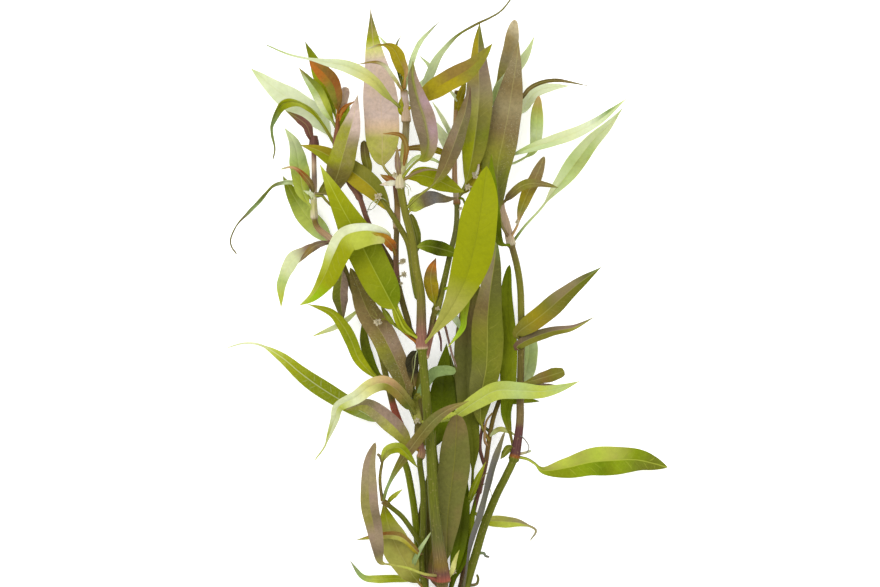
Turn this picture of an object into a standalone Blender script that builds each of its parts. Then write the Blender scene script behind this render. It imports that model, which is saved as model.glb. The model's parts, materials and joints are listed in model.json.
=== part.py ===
"""A cut bunch of alternanthera reineckii, lying on a table.

The frame: X is across the bunch, Y runs from the cut ends to the leaf tips, Z is up from the table.
Every stem and leaf is a row of points along its middle line, in millimetres: across, along, height.
"""

from collections import namedtuple

import bpy
import numpy as np

MM = 0.001

# Stems
STEM_SIDES = 7
STEM_STEP = 12.0          # distance between two rings of a stem
NODE_SWELL = 0.42         # how much thicker a stem is at a node, as a share of its radius
NODE_LENGTH = 2.6         # reach of that swelling to each side
JOIN_GAP = 0.36           # space between the foot of a leaf or branch and the stem that bears it

# Leaves
LEAF_RINGS = 11           # rings along a full-size leaf
BENT_LEAF_RINGS = 22      # rings along a full-size leaf with a sharp bend
SMALL_LEAF_RINGS = 7      # rings along a young leaf that is fused to its stem
LEAF_THICKNESS = 0.6      # at the midrib
PETIOLE_WIDTH = 1.3       # narrow foot of a leaf
BLADE_SKEW = 0.82         # under 1: the blade is widest nearer its foot
BLADE_FULLNESS = 0.85     # under 1: the sides are fuller than a sine
TIP_WIDTH = 0.35
FOLD = 0.22               # rise of each blade edge over the midrib, as a share of the half width

# The tie round the foot of the bunch
TIE_PLACE = (-0.9, -103.0, 7.7)
TIE_INNER = (7.6, 6.5)    # half width and half height of its opening
TIE_WALL = 1.2
TIE_WIDTH = 6.0
TIE_SIDES = 28

COLOURS = {
    "bright": (0.30, 0.48, 0.05),
    "yellow": (0.42, 0.44, 0.07),
    "olive": (0.20, 0.24, 0.06),
    "dark": (0.07, 0.15, 0.03),
    "pale": (0.58, 0.68, 0.38),
    "mauve": (0.24, 0.13, 0.13),
    "taupe": (0.20, 0.15, 0.11),
    "rust": (0.28, 0.08, 0.03),
    "brown": (0.22, 0.11, 0.05),
    "stem_green": (0.26, 0.32, 0.08),
    "stem_brown": (0.24, 0.12, 0.07),
    "tie": (0.62, 0.58, 0.48),
}

Stem = namedtuple("Stem", "name colour foot_radius top_radius nodes points parent", defaults=(None,))
Leaf = namedtuple("Leaf", "name colour width points roll stem petiole rings",
                  defaults=(0.0, None, 0.10, LEAF_RINGS))

STEMS = [
    Stem("stem_main", "stem_green", 1.9, 1.1, (-87, -6, 50, 73), [
        (-1, -117, 11), (-1.5, -103, 11.4), (-1.8, -97, 12.5), (-2, -87, 15), (-3.5, -75, 17), (-5, -60, 19),
        (-5.8, -45, 21), (-7.5, -25, 23.5), (-9, -6, 25), (-9.3, 10, 26), (-11, 20, 27),
        (-12.4, 30, 28), (-14.9, 40, 29), (-16.5, 50, 30), (-15.3, 58, 31), (-14.5, 68, 32),
        (-14.5, 73, 32.5), (-15.2, 82, 33.5)]),
    Stem("stem_right", "stem_brown", 1.6, 1.0, (-46, 29.5, 57), [
        (3.2, -117, 7), (3.8, -103, 7), (7, -90, 8.8), (10, -80, 10), (13, -70, 11), (17, -60, 12.5),
        (20.5, -53, 13.5), (23.5, -46, 14.5), (25.3, -35, 15.5), (25.5, -25, 16), (25.7, -15, 16.5),
        (25.9, -5, 17), (25.8, 5, 17), (25.5, 13, 17), (24.5, 20, 16.5), (23, 26, 16),
        (22, 29.5, 16), (20.5, 36, 15), (19, 41, 14), (18.3, 48, 13.5), (18.6, 57, 13),
        (19.5, 66, 12.5), (20.5, 75, 12)]),
    Stem("stem_left", "stem_green", 1.4, 0.8, (-33, 29.5, 44.5), [
        (-5.2, -117, 6.2), (-5.7, -103, 6.2), (-8, -91, 6.8), (-10, -80, 7.5), (-11, -70, 8),
        (-12, -62, 8.5), (-13.8, -52, 9), (-15.5, -46, 9.5), (-16, -38, 9.5), (-17.5, -33, 9.5),
        (-19.3, -27, 9.5), (-21.5, -18, 9.5), (-23.5, -10, 9.5), (-27, -2, 9.5), (-29.5, 3, 9.5),
        (-33, 12, 9.5), (-37, 22, 9.5), (-40.5, 29.5, 10), (-45, 33.5, 10.5), (-46.5, 37, 11),
        (-46.8, 44.5, 12), (-46.6, 50, 12.5), (-46.8, 60, 14), (-47, 63.5, 14.5)]),
    Stem("stem_inner_olive", "stem_green", 1.25, 1.0, (-44.5, -33), [
        (-4, -117, 9.8), (-4.5, -103, 9.8), (-9, -86, 10.5), (-8.5, -70, 11), (-8.5, -58, 11.5),
        (-9.7, -48, 12), (-9, -44.5, 12.3), (-10.5, -38, 12.7), (-10.3, -33, 13), (-11.5, -26, 13.5)]),
    Stem("stem_lower_right", "stem_brown", 0.95, 0.8, (-58, -20, -8), [
        (1, -117, 3.6), (1.5, -103, 3.6), (5, -90, 3.7), (6.5, -78, 4), (8.5, -68, 5), (11, -58, 6),
        (13.3, -49, 7), (14.5, -41, 8), (16, -33, 9), (18, -27, 8.5), (20.5, -20, 7.5),
        (22.5, -13, 7), (23.2, -7, 7)]),
    Stem("stem_thin_green", "stem_green", 0.8, 0.8, (-60,), [
        (-1.5, -117, 7.6), (-1, -103, 7.6), (2, -88, 7.6), (4, -75, 7.6), (6.5, -65, 7.6),
        (8.6, -58.5, 8)]),
    Stem("side_shoot_low", "stem_green", 0.9, 0.8, (-62,), [
        (-11.3, -76.6, 12), (-13, -71, 13.8), (-16, -67, 15.6), (-19.5, -64, 17.5),
        (-22.5, -61.7, 18.5)], "stem_inner_olive"),
    Stem("branch_left", "stem_brown", 1.1, 0.9, (35,), [
        (-12.6, -6.5, 22.5), (-13, -2, 22.3), (-14, 2, 22), (-16, 9, 20.5), (-17.7, 17, 19.5),
        (-18, 26, 19), (-17.7, 35, 19), (-17.6, 42, 19), (-18.5, 51, 19.5)], "stem_main"),
    Stem("shoot_upper_left", "stem_brown", 1.0, 0.8, (46, 64), [
        (-20, 19, 16), (-26.5, 33.5, 14.5), (-28.5, 38, 14.5), (-31, 45, 14), (-34.5, 50, 14),
        (-36.8, 56, 14), (-39, 63, 15), (-38.5, 69, 16), (-38.2, 73.5, 16.5)], "branch_left"),
    Stem("branch_middle", "stem_green", 1.1, 0.8, (6, 43), [
        (-5.8, -11, 21.6), (-5.8, -3, 21.5), (-4.8, 3, 21.3), (-3, 8, 21), (-1, 16, 20.5),
        (1, 25, 20), (3, 34, 19.5), (3.3, 43, 19.5), (2.6, 50, 19.5), (2.5, 60, 20), (2.8, 70, 20.5),
        (3.2, 82, 21)], "stem_main"),
]

LEAVES = [
    # Upper left shoot and far left
    Leaf("leaf_crown_pale_left", "pale", 4.6, [
        (-17.6, 74.8, 33.5), (-21, 80, 36), (-25, 84.5, 37), (-30, 88, 36.5), (-36, 90.5, 34.5),
        (-45, 92.3, 30), (-55, 94.5, 24.5), (-63.5, 98, 19)], 10),
    Leaf("leaf_far_left_pale", "pale", 8.6, [
        (-40.9, 64, 12), (-45, 72, 8), (-52, 77, 5), (-60, 82.5, 3), (-69, 90, 0.45)]),
    Leaf("leaf_far_left_arch", "yellow", 3.6, [
        (-41.2, 63.2, 15.5), (-43.5, 70, 13), (-47, 75, 12), (-52.5, 78, 11.5), (-58, 77.3, 10.5),
        (-61.5, 71, 9), (-61.7, 67, 8), (-60.6, 62, 6), (-61.2, 58, 4.5)], 35),
    Leaf("leaf_left_shoot_dark", "dark", 5.0, [
        (-39.9, 72, 13.6), (-41, 78, 11), (-44, 85, 8), (-46.5, 92, 5), (-50, 99.5, 2)]),
    Leaf("leaf_left_shoot_green", "bright", 4.6, [
        (-41, 69.2, 16.2), (-42.8, 76, 15.5), (-45.5, 81.5, 13.5), (-52, 90, 10)]),
    Leaf("leaf_left_shoot_rust", "rust", 5.6, [
        (-38.9, 74.6, 20), (-38.7, 79, 21.5), (-40, 84, 21), (-43.5, 88.5, 20.5), (-48, 92.5, 19)]),
    Leaf("leaf_left_tall_mauve", "mauve", 9.2, [
        (-44.6, 45.6, 14.4), (-41.5, 46.5, 16), (-39.5, 50, 18.5), (-38, 54, 21), (-35.5, 63, 24),
        (-33, 72, 26), (-31.4, 80.3, 26.5)]),
    Leaf("leaf_left_olive_long", "yellow", 8.2, [
        (-12, 13, 24.4), (-12, 20, 24.4), (-13.4, 27.5, 24), (-16, 33, 23.4), (-21, 41, 22.2),
        (-25.5, 47.3, 21), (-31, 52, 19.5), (-38, 57, 18), (-45, 61, 17.8),
        (-51.5, 63, 17.6)], petiole=0.42),
    Leaf("leaf_outer_left_light", "pale", 7.0, [
        (-48.9, 40, 13.4), (-50.4, 46, 12), (-52, 55, 10.5), (-53.5, 63, 9.5), (-57, 69, 9)], -20),
    Leaf("leaf_outer_left_hook", "olive", 1.9, [
        (-48.5, 43.8, 9.6), (-51, 47.5, 7), (-54, 50.2, 6.5), (-60, 49.5, 7), (-64, 46, 7),
        (-69, 40.5, 6), (-73.5, 35.5, 4.5), (-76, 30.5, 3), (-75.8, 27.5, 2), (-74, 24.8, 1)], 45),
    Leaf("leaf_outer_left_dark", "dark", 7.2, [
        (-39.6, 26.6, 6.4), (-43, 31.5, 5), (-48, 36.5, 3.5), (-53, 43.5, 2.5), (-57.8, 52.3, 2)]),
    Leaf("leaf_left_pale_hanging", "pale", 5.0, [
        (-42.4, 28, 12.2), (-46, 27.6, 13), (-50, 25.6, 12.5), (-54.5, 22.4, 10.5), (-58, 15, 7),
        (-58.4, 6, 3.5)], -20),
    # Left side of the main stem
    Leaf("leaf_bright_fold", "bright", 11.0, [
        (-19.5, 24.5, 21.5), (-20, 29, 26), (-22.5, 31.8, 30), (-29, 33, 34), (-36, 31, 35),
        (-39.5, 25, 34), (-43, 17, 31), (-47, 10.5, 28), (-51.8, 6.8, 25)], -12, petiole=0.14, rings=BENT_LEAF_RINGS),
    Leaf("leaf_bright_left", "bright", 12.8, [
        (-11.5, -5, 27.5), (-14.8, -1.5, 28), (-17.6, 4, 28), (-20.8, 10, 27.5), (-26, 20, 26.5),
        (-32, 32, 26), (-37.4, 42, 26), (-41, 49, 26.5), (-44.5, 56, 27)], petiole=0.17),
    Leaf("leaf_left_grey_hanging", "taupe", 5.6, [
        (-36.4, 21, 12.2), (-37.5, 12, 12), (-37.2, 6, 9), (-36.5, 1.8, 6.5)]),
    Leaf("leaf_left_olive_arch", "olive", 4.4, [
        (-22.6, -20, 12), (-26, -17.5, 12), (-31, -12, 12.5), (-33.5, -6, 13), (-36.5, -0.5, 13.5),
        (-41, 4.5, 13.5), (-49, 7.3, 13)]),
    Leaf("leaf_lower_left_long", "yellow", 5.6, [
        (-19.4, -34.8, 8.6), (-25, -33, 6.5), (-30, -30.5, 5), (-39, -25.5, 4.5), (-46, -21, 4.5),
        (-52, -16.5, 4.5), (-58, -11.5, 4), (-65, -7.3, 3), (-71, -6.4, 1.6), (-77.3, -8, 0.4)]),
    Leaf("leaf_lower_left_taupe", "taupe", 6.6, [
        (-11.2, -44.3, 13.8), (-13.5, -42, 15), (-16, -38.5, 16), (-20, -34.3, 16.5),
        (-24, -31, 16.5), (-29, -28, 15), (-36, -30, 11.5)]),
    Leaf("leaf_lower_left_arch", "yellow", 5.4, [
        (-12.4, -31.8, 16), (-14.8, -26, 20), (-18, -22.5, 22), (-22, -20.3, 23), (-27, -21.5, 22.5),
        (-32, -25.2, 21), (-38, -28.5, 18), (-39.5, -33, 15.5), (-41.7, -39, 11.5),
        (-43.3, -43, 8.5), (-46.5, -47.5, 5)], 15),
    Leaf("leaf_left_big_taupe", "taupe", 9.2, [
        (-12.8, -35.5, 11.8), (-14, -27, 14), (-14.8, -21, 15.5), (-18.4, -12, 16.8), (-22.4, -4, 17.4),
        (-27.4, 4, 17.8), (-31.2, 13, 17.6), (-34, 20, 17.2)]),
    # Crown
    Leaf("leaf_crown_big_mauve", "mauve", 12.6, [
        (-20.6, 51.8, 20.4), (-22.5, 56, 20.4), (-22.8, 64, 20.4), (-23, 72, 20.4),
        (-23.4, 79, 20.4), (-24.5, 88, 19.5), (-25.8, 97, 18), (-27, 111, 15)]),
    Leaf("leaf_crown_arch_left", "rust", 4.2, [
        (-15.2, 84.2, 34.5), (-15, 88, 35.5), (-16.5, 92, 36), (-19, 96.5, 35), (-23, 97.8, 33),
        (-28, 96.5, 29.5)], 15),
    Leaf("leaf_front_mauve", "mauve", 7.8, [
        (-14.6, 51, 32.2), (-13, 55, 35), (-10.5, 57.3, 38), (-7.6, 58.8, 40), (-6.6, 64, 42),
        (-7.8, 71, 44), (-10.3, 79, 44.5), (-12, 86, 44), (-12, 92, 43)], petiole=0.24),
    Leaf("leaf_crown_olive_right", "olive", 7.8, [
        (-12.6, 75, 33.6), (-10, 78.5, 35.5), (-7, 80.7, 36.5), (0, 85, 36.5), (7, 89, 35.5),
        (12, 93.7, 34), (15.7, 98.3, 32)]),
    Leaf("leaf_crown_tail", "pale", 3.2, [
        (-12.6, 77.4, 30), (-10, 79.6, 29.5), (-7.5, 84, 28.5), (-4.5, 91, 28), (-1, 96.5, 28),
        (4, 101.5, 28.5), (10, 105, 29), (15, 107.4, 29), (19, 110, 29), (22.3, 114.2, 28.5),
        (23.8, 117, 28)], 30),
    Leaf("leaf_tall_grey_olive", "olive", 9.8, [
        (5.4, 44.6, 19.6), (6.5, 50, 20.5), (8.5, 58, 21.5), (10, 68, 22.5), (11, 78, 23.5),
        (11, 88, 24), (10.8, 98, 23.5), (11.3, 105.8, 22)]),
    Leaf("leaf_speckled_taupe", "taupe", 10.4, [
        (20.2, 31, 18.8), (19, 35, 19.4), (18, 41, 19.6), (17.4, 50, 19.2), (17.8, 57, 18.8),
        (19.5, 65, 18.2), (21.3, 74, 17.4), (22.7, 83, 16), (24, 91, 15), (25, 99, 13.5)], petiole=0.16),
    Leaf("leaf_back_damaged_tip", "brown", 5.4, [
        (18.1, 71.5, 9.8), (18, 78, 9.6), (19.5, 86, 9.4), (21.5, 94, 9), (23.7, 107, 8.5)]),
    # Right side
    Leaf("leaf_right_green_upright", "bright", 4.6, [
        (20.4, 56, 11.2), (24, 57, 10), (29.5, 60.5, 10), (31, 65, 10.5), (31.3, 72, 10.5),
        (32, 80.3, 10.5)], petiole=0.3),
    Leaf("leaf_right_pale_long", "pale", 4.2, [
        (20.7, 58.4, 14.6), (24, 60, 16), (30, 62.3, 16.5), (37, 64.5, 15.5), (44, 67, 13),
        (52, 71, 10), (58, 75.5, 7), (63, 79.5, 4)]),
    Leaf("leaf_right_pale_green", "pale", 6.6, [
        (24.2, 29.4, 14.6), (27, 34.5, 12.5), (32.5, 40.5, 10), (37, 46.5, 8), (41.5, 52, 6),
        (45.5, 57.5, 4.5), (50.5, 64, 3), (56, 69.5, 1.8), (61.5, 76, 0.4)], petiole=0.3),
    Leaf("leaf_right_brown", "brown", 4.6, [
        (23.6, 31.4, 18.2), (24.5, 35, 17.5), (26, 41, 16.5), (28.5, 47, 15), (31.5, 53, 14),
        (33.9, 59, 13)], petiole=0.2),
    Leaf("leaf_right_brown_arch", "brown", 3.4, [
        (20.6, 43, 18), (23, 46.2, 20), (26, 48.6, 20.8), (30, 49.5, 20.8), (35, 49, 19),
        (38.8, 48, 17)], 10),
    Leaf("leaf_middle_olive_big", "olive", 11.2, [
        (14.2, -40.5, 10), (11.8, -34, 13), (12, -24, 14.2), (13.6, -15, 15.2), (14, -6, 15.6),
        (14.1, 2, 15.6), (15, 12, 15), (16.5, 22, 14), (17.3, 31, 12.5)]),
    Leaf("leaf_middle_deep_green", "dark", 4.8, [
        (22, -43.6, 12), (21, -32, 11.5), (21.5, -25, 11.5), (22.2, -10, 11), (21.3, 2, 10.5),
        (21, 12, 10), (21.8, 21, 9)]),
    Leaf("leaf_behind_front_leaf", "dark", 4.4, [
        (20.8, 27, 18.8), (18.4, 29, 22.3), (16.4, 37, 24.5), (15.6, 47, 25), (15.3, 59.7, 25)]),
    Leaf("leaf_front_broad", "bright", 14.0, [
        (-7.2, -6.8, 27.5), (-4, -1.5, 30), (0, 4, 32), (3.5, 10, 34), (7, 18, 36.5), (9.5, 28, 38.5),
        (11, 36, 39.5), (12.5, 46, 39.5), (13.7, 55.5, 38.5)]),
    Leaf("leaf_middle_mustard_strip", "yellow", 7.2, [
        (-14.2, 50.8, 28), (-10, 52.3, 27.5), (-4, 50.8, 26.5), (2, 48, 25.5), (6, 46.5, 24.5)]),
    Leaf("leaf_middle_mauve", "mauve", 6.2, [
        (-12.4, 41, 30.2), (-9.5, 45.5, 31), (-5, 49, 31), (-1.5, 54, 30.5), (1.5, 61, 30),
        (4, 68, 29.5), (6.3, 75, 29), (8, 84, 28)], petiole=0.26),
    Leaf("leaf_middle_slate", "taupe", 5.6, [
        (-12.6, 39.2, 27), (-10, 43, 25.6), (-5, 44.5, 24.2), (0, 44, 23.2), (3.5, 44.5, 22.6)]),
    # Lower middle
    Leaf("leaf_lower_dark_back", "dark", 9.4, [
        (-7.4, -46, 9.8), (-4.5, -40, 9), (-2, -30, 8.6), (-1.3, -20, 8.6), (-0.3, -6.5, 8)]),
    Leaf("leaf_lower_dark_middle", "dark", 8.2, [
        (8.9, -55.8, 8.4), (9, -48, 9), (9, -42, 9.5), (7.5, -30, 10), (6.8, -18, 10), (7, -5, 9.6),
        (7.8, 4, 9.2), (8, 13, 9)]),
    Leaf("leaf_foot_olive_tall", "olive", 11.2, [
        (0.8, -87, 12.6), (-0.2, -80, 12.2), (-0.2, -75, 12.4), (0.2, -66, 13), (1.3, -57, 14),
        (2.3, -49, 15.5), (2.9, -41, 17.5), (3.3, -31.4, 20)]),
    Leaf("leaf_front_bright_right", "bright", 6.4, [
        (-8.1, -33.8, 14.2), (-3, -33.8, 15), (1, -33, 15.6), (4, -31, 16.4), (10, -26.8, 18.6),
        (17, -23, 21), (25, -23, 22.5), (33, -23.3, 22), (40, -22, 20), (46.3, -19.7, 17)]),
    Leaf("leaf_foot_olive_arch", "olive", 4.4, [
        (-21.8, -59.8, 20.4), (-21.3, -57.5, 22), (-19, -52.5, 24.5), (-16, -47.5, 26), (-12, -42, 27.5),
        (-6, -34.5, 28.5), (0, -29.7, 28.5), (7.5, -26.5, 27.5)]),
    Leaf("leaf_foot_bright_arch", "bright", 3.8, [
        (-23.8, -61.2, 20), (-23.6, -54, 21.5), (-22.6, -47.5, 27), (-20.8, -43.8, 31), (-17.2, -42.8, 32),
        (-14.5, -44.7, 32), (-10.4, -49.8, 31)], petiole=0.36),
    Leaf("leaf_foot_mauve", "mauve", 6.2, [
        (-4.4, -88.2, 17.4), (-8, -87.2, 19.5), (-14, -85, 22), (-20, -83.8, 23.6), (-23.4, -82.8, 24.6),
        (-24.4, -78, 25.2), (-25.8, -70, 26), (-27.3, -62, 26.6), (-27.5, -53, 27),
        (-26.9, -47, 27), (-25.2, -41, 26.5)], petiole=0.26),
    Leaf("leaf_foot_yellow_olive", "yellow", 10.4, [
        (-9.6, -93, 9.6), (-12, -88, 12), (-15.5, -82, 13.5), (-18.5, -76, 14), (-20.7, -70, 14),
        (-22.5, -62.5, 13.5)]),
    Leaf("leaf_lone_right", "bright", 10.2, [
        (25.8, -46.4, 14.4), (28, -47, 14), (30.5, -48.5, 13), (34, -51, 11.5), (42, -50, 9.5),
        (50, -48.2, 8), (58, -47.5, 6.5), (66, -47.3, 4.5), (72, -48.5, 2.4), (77.3, -50, 0.4)]),
    # Young leaves fused to the shoot that bears them
    Leaf("young_orange", "rust", 1.6, [(-38.5, 70, 16.2), (-36.5, 75.5, 18), (-32.5, 78.3, 19)],
         stem="shoot_upper_left"),
    Leaf("young_tan", "brown", 3.3, [(-38.3, 72.5, 16.4), (-37, 76, 16.5), (-35.5, 83.3, 16)],
         stem="shoot_upper_left"),
    Leaf("young_green", "bright", 3.0, [(-38.8, 64.5, 15.2), (-36, 71.5, 17), (-34.3, 77.5, 18.5)],
         stem="shoot_upper_left"),
    Leaf("young_red_left", "rust", 3.2, [(-46.9, 62, 14.3), (-48.3, 67, 16), (-50, 70.5, 17),
                                         (-56.5, 75, 17)], stem="stem_left"),
    Leaf("young_curl_left", "rust", 2.0, [(-46.8, 45.5, 12), (-48, 49.5, 15.5), (-52, 54, 16.5),
                                          (-55, 55.2, 16.5), (-58.3, 54.5, 16)], stem="stem_left"),
    Leaf("foot_brown_strap", "brown", 2.8, [(-9.2, -80.4, 11), (-10.4, -79.6, 15.4), (-15, -75, 18.2),
                                            (-19, -73.6, 18.2), (-25, -74, 17), (-32, -75.3, 14)],
         stem="stem_inner_olive"),
    Leaf("foot_bright_strap", "bright", 2.8, [(-8.2, -90.5, 6.8), (-12, -89.6, 5.5), (-18, -89, 4),
                                              (-25, -89.2, 2.5), (-30, -88.2, 1.5),
                                              (-34.2, -82.7, 0.8)], stem="stem_left"),
    Leaf("left_dark_strap", "dark", 3.6, [(-21.3, -19, 9.5), (-24.5, -17, 6.5), (-27.5, -12, 4.5),
                                          (-29.3, -4, 3.5), (-29.3, 3.5, 2.5)], stem="stem_left"),
    Leaf("crown_narrow", "rust", 1.3, [(-15.2, 81, 33.4), (-18.5, 86, 38), (-22, 90.5, 41),
                                       (-26, 91.7, 41.5), (-31, 91, 41)], stem="stem_main"),
    Leaf("crown_pale_right", "pale", 2.0, [(-15.1, 80.5, 33.3), (-12.7, 91, 32.8), (-10, 98, 33),
                                           (-6, 102.8, 33), (-2.8, 106, 33)], stem="stem_main"),
    Leaf("crown_back_pale", "pale", 2.0, [(-15, 79.5, 33.2), (-15.3, 86, 32), (-16.8, 91.5, 31.4),
                                          (-19.5, 95.8, 30.6), (-24.3, 101.3, 29.5)], stem="stem_main"),
    Leaf("middle_dark_left", "dark", 5.2, [(-12, 27.4, 27.8), (-8.5, 27.6, 26.4), (-5, 27.3, 25.6),
                                           (1.5, 25.5, 24.5), (5.5, 23.5, 24)], stem="stem_main"),
    Leaf("right_pale_top", "pale", 4.0, [(20.3, 73, 12.1), (26, 75.5, 9), (28.5, 79, 8),
                                         (32, 82.2, 7), (37, 83.4, 5), (43, 83.9, 3.5)],
         stem="stem_right"),
    Leaf("right_brown_thin", "brown", 1.4, [(20.4, 74, 12), (26, 79.5, 13.8), (29, 83, 14.8),
                                            (34, 85.2, 15), (40, 85.5, 14.5), (49, 83.8, 12)],
         stem="stem_right"),
    Leaf("right_pale_back", "pale", 4.4, [(20.3, 73, 12.1), (20.9, 75.5, 7.4), (18, 80.5, 5.6),
                                          (20.5, 86.5, 5.5), (25, 91, 5), (28, 95.5, 4.6),
                                          (30.5, 101.3, 4)], stem="stem_right"),
    Leaf("middle_green_strap", "dark", 2.6, [(18, -27, 8.5), (21, -27, 8), (26, -26.3, 7.5),
                                             (32.3, -26.8, 6.5)], stem="stem_lower_right"),
    Leaf("right_olive_long", "olive", 7.2, [(24.9, -4.8, 17.2), (24.1, -3.6, 18.8), (26, -1.6, 20),
                                            (30, 1.2, 19.6), (34, 4.3, 18.4), (40, 9.5, 16.4),
                                            (46, 14.5, 14.4), (54, 20.3, 12.5)],
         stem="stem_right", petiole=0.03),
    Leaf("right_mauve_long", "mauve", 3.8, [(24.9, -8.6, 17.2), (24.2, -7.8, 18.6), (26.2, -6.2, 19.4),
                                            (30, -4.4, 18.6), (36, -2.4, 16), (44, -0.9, 12.5),
                                            (51.3, 2.6, 9)],
         stem="stem_right", petiole=0.03),
    Leaf("right_pale_back_leaf", "pale", 6.6, [(20.5, -20, 7.5), (24, -20.5, 4.5), (27, -18, 3),
                                               (28.5, -10, 2.5), (28, -3, 2.5), (25.5, 5, 2)],
         stem="stem_lower_right"),
    Leaf("right_short_brown", "brown", 4.6, [(26.2, -20.8, 17), (28, -20, 17.2), (33, -18.6, 16.2),
                                             (41, -16.2, 13)], stem="stem_right"),
    Leaf("foot_curled_green", "bright", 4.2, [(9, -66, 5.2), (14, -68.5, 4), (20, -69, 3.5),
                                              (26, -69.7, 3), (31, -72, 2), (29, -75.8, 1)],
         stem="stem_lower_right"),
    Leaf("inner_grey_arch", "olive", 3.8, [(-11.4, -27, 13.4), (-8.6, -22, 17), (-5, -17, 18.5),
                                           (-1, -15.9, 18.5), (3, -16.3, 18)],
         stem="stem_inner_olive"),
    Leaf("middle_brown_back", "brown", 5.0, [(-4, 5.5, 21.2), (-5.4, 12, 23.4), (-5.8, 18, 23.6),
                                             (-4, 23.5, 21.8)], stem="branch_middle"),
    Leaf("middle_vivid_hanging", "yellow", 2.6, [(-2, 12, 20.7), (3, 13.5, 24), (6.3, 10, 25),
                                                 (5.7, 3, 25), (5, -1.5, 24.5), (0, -8, 24)],
         stem="branch_middle"),
    Leaf("foot_grey_strip", "taupe", 3.4, [(5.2, -94, 7.8), (6.6, -87, 13), (7.5, -82, 14.5),
                                           (9, -75, 16), (12, -65, 17), (14.7, -56, 17.5),
                                           (17, -47, 17.5), (20.2, -37.3, 17.5)], 30,
         stem="stem_right"),
]


def unit(rows):
    """Each row scaled to length one."""
    return rows / np.linalg.norm(rows, axis=1, keepdims=True)


def smooth_path(points, steps=16):
    """A Catmull-Rom curve through the points, with many short steps, and its running length."""
    given = np.array(points, float)
    given = np.vstack([2 * given[0] - given[1], given, 2 * given[-1] - given[-2]])
    share = np.linspace(0, 1, steps, endpoint=False)[:, None]
    pieces = []
    for before, start, end, after in zip(given, given[1:], given[2:], given[3:]):
        pieces.append(0.5 * (2 * start + (end - before) * share
                             + (2 * before - 5 * start + 4 * end - after) * share ** 2
                             + (3 * start - before - 3 * end + after) * share ** 3))
    path = np.vstack(pieces + [given[-2][None]])
    length = np.concatenate([[0], np.cumsum(np.linalg.norm(np.diff(path, axis=0), axis=1))])
    return path, length


def along(path, length, places):
    """Points of the path at the given running lengths."""
    return np.stack([np.interp(places, length, path[:, axis]) for axis in range(3)], axis=1)


def frames(centres, roll=0.0):
    """Side and normal of the path at each centre; the side is level before it is rolled."""
    tangent = unit(np.gradient(centres, axis=0))
    side = unit(np.cross(tangent, (0, 0, 1)))
    normal = np.cross(side, tangent)
    turn = np.radians(roll)
    return side * np.cos(turn) + normal * np.sin(turn), normal * np.cos(turn) - side * np.sin(turn)


def closed_mesh(name, rings):
    """One closed body: a skin over the rings, with a cap at each end."""
    count, sides = rings.shape[:2]
    vertices = rings.reshape(-1, 3) * MM
    faces = []
    for ring in range(count - 1):
        for corner in range(sides):
            here = ring * sides + corner
            beside = ring * sides + (corner + 1) % sides
            faces.append((here, beside, beside + sides, here + sides))
    faces.append(tuple(reversed(range(sides))))
    faces.append(tuple(range((count - 1) * sides, count * sides)))
    mesh = bpy.data.meshes.new(name)
    mesh.from_pydata(vertices.tolist(), [], faces)
    mesh.update()
    return mesh


def new_object(name, mesh):
    """An object of that mesh, in the scene."""
    item = bpy.data.objects.new(name, mesh)
    bpy.context.scene.collection.objects.link(item)
    return item


def finish_material(item, colour, roughness=0.55):
    """A plain material with the piece's colour."""
    material = bpy.data.materials.new(item.name)
    material.use_nodes = True
    shader = material.node_tree.nodes["Principled BSDF"]
    shader.inputs["Base Color"].default_value = (*COLOURS[colour], 1)
    shader.inputs["Roughness"].default_value = roughness
    item.data.materials.clear()
    item.data.materials.append(material)
    item.data.shade_smooth()


def stem_middle(stem, points):
    """The stem's middle line, its running length, the radius at each point and the node places."""
    path, length = smooth_path(points)
    node_places = [length[np.argmin(np.abs(path[:, 1] - y))] for y in stem.nodes]
    radius = stem.foot_radius + (stem.top_radius - stem.foot_radius) * length / length[-1]
    for node in node_places:
        radius = radius * (1 + NODE_SWELL * np.exp(-2 * ((length - node) / NODE_LENGTH) ** 2))
    return path, length, radius, node_places


def beside_stem(points, bearers, half_width):
    """The points, with the first one moved to just off the surface of the nearest bearer.

    The closer the piece runs to the bearer's own direction, the more of its half width is added
    to the gap.
    """
    foot = np.array(points[0], float)
    near = []
    for bearer in bearers:
        path, _, radius, _ = stem_middle(bearer, bearer.points)
        distance = np.linalg.norm(path - foot, axis=1) - radius
        place = distance.argmin()
        near.append((distance[place], tuple(path[place]), radius[place]))
    _, middle, bearer_radius = min(near)
    outward = unit((foot - middle)[None])[0]
    heading = unit((np.array(points[1], float) - foot)[None])[0]
    across = np.sqrt(max(0, 1 - (heading @ outward) ** 2))
    foot = middle + outward * (bearer_radius + JOIN_GAP + half_width * across)
    return [tuple(foot), *points[1:]]


def stem_mesh(stem):
    """A round tube along the stem that swells at each node."""
    points = stem.points
    if stem.parent:
        points = beside_stem(points, [s for s in STEMS if s.name == stem.parent], stem.foot_radius)
    path, length, radius, node_places = stem_middle(stem, points)
    places = np.linspace(0, length[-1], max(3, round(length[-1] / STEM_STEP) + 1))
    near = np.array([node + step for node in node_places for step in (-NODE_LENGTH, 0, NODE_LENGTH)])
    near = near[(near > NODE_LENGTH) & (near < length[-1] - NODE_LENGTH)]
    clear = np.abs(places[1:-1, None] - near).min(axis=1) > 0.8 * NODE_LENGTH
    places = np.sort(np.concatenate([places[[0, -1]], places[1:-1][clear], near]))
    centres = along(path, length, places)
    ring_radius = np.interp(places, length, radius)[:, None, None]
    side, normal = frames(centres)
    angle = np.linspace(0, 2 * np.pi, STEM_SIDES, endpoint=False)[None, :, None]
    rings = centres[:, None] + ring_radius * (side[:, None] * np.cos(angle)
                                              - normal[:, None] * np.sin(angle))
    return closed_mesh(stem.name, rings)


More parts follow.
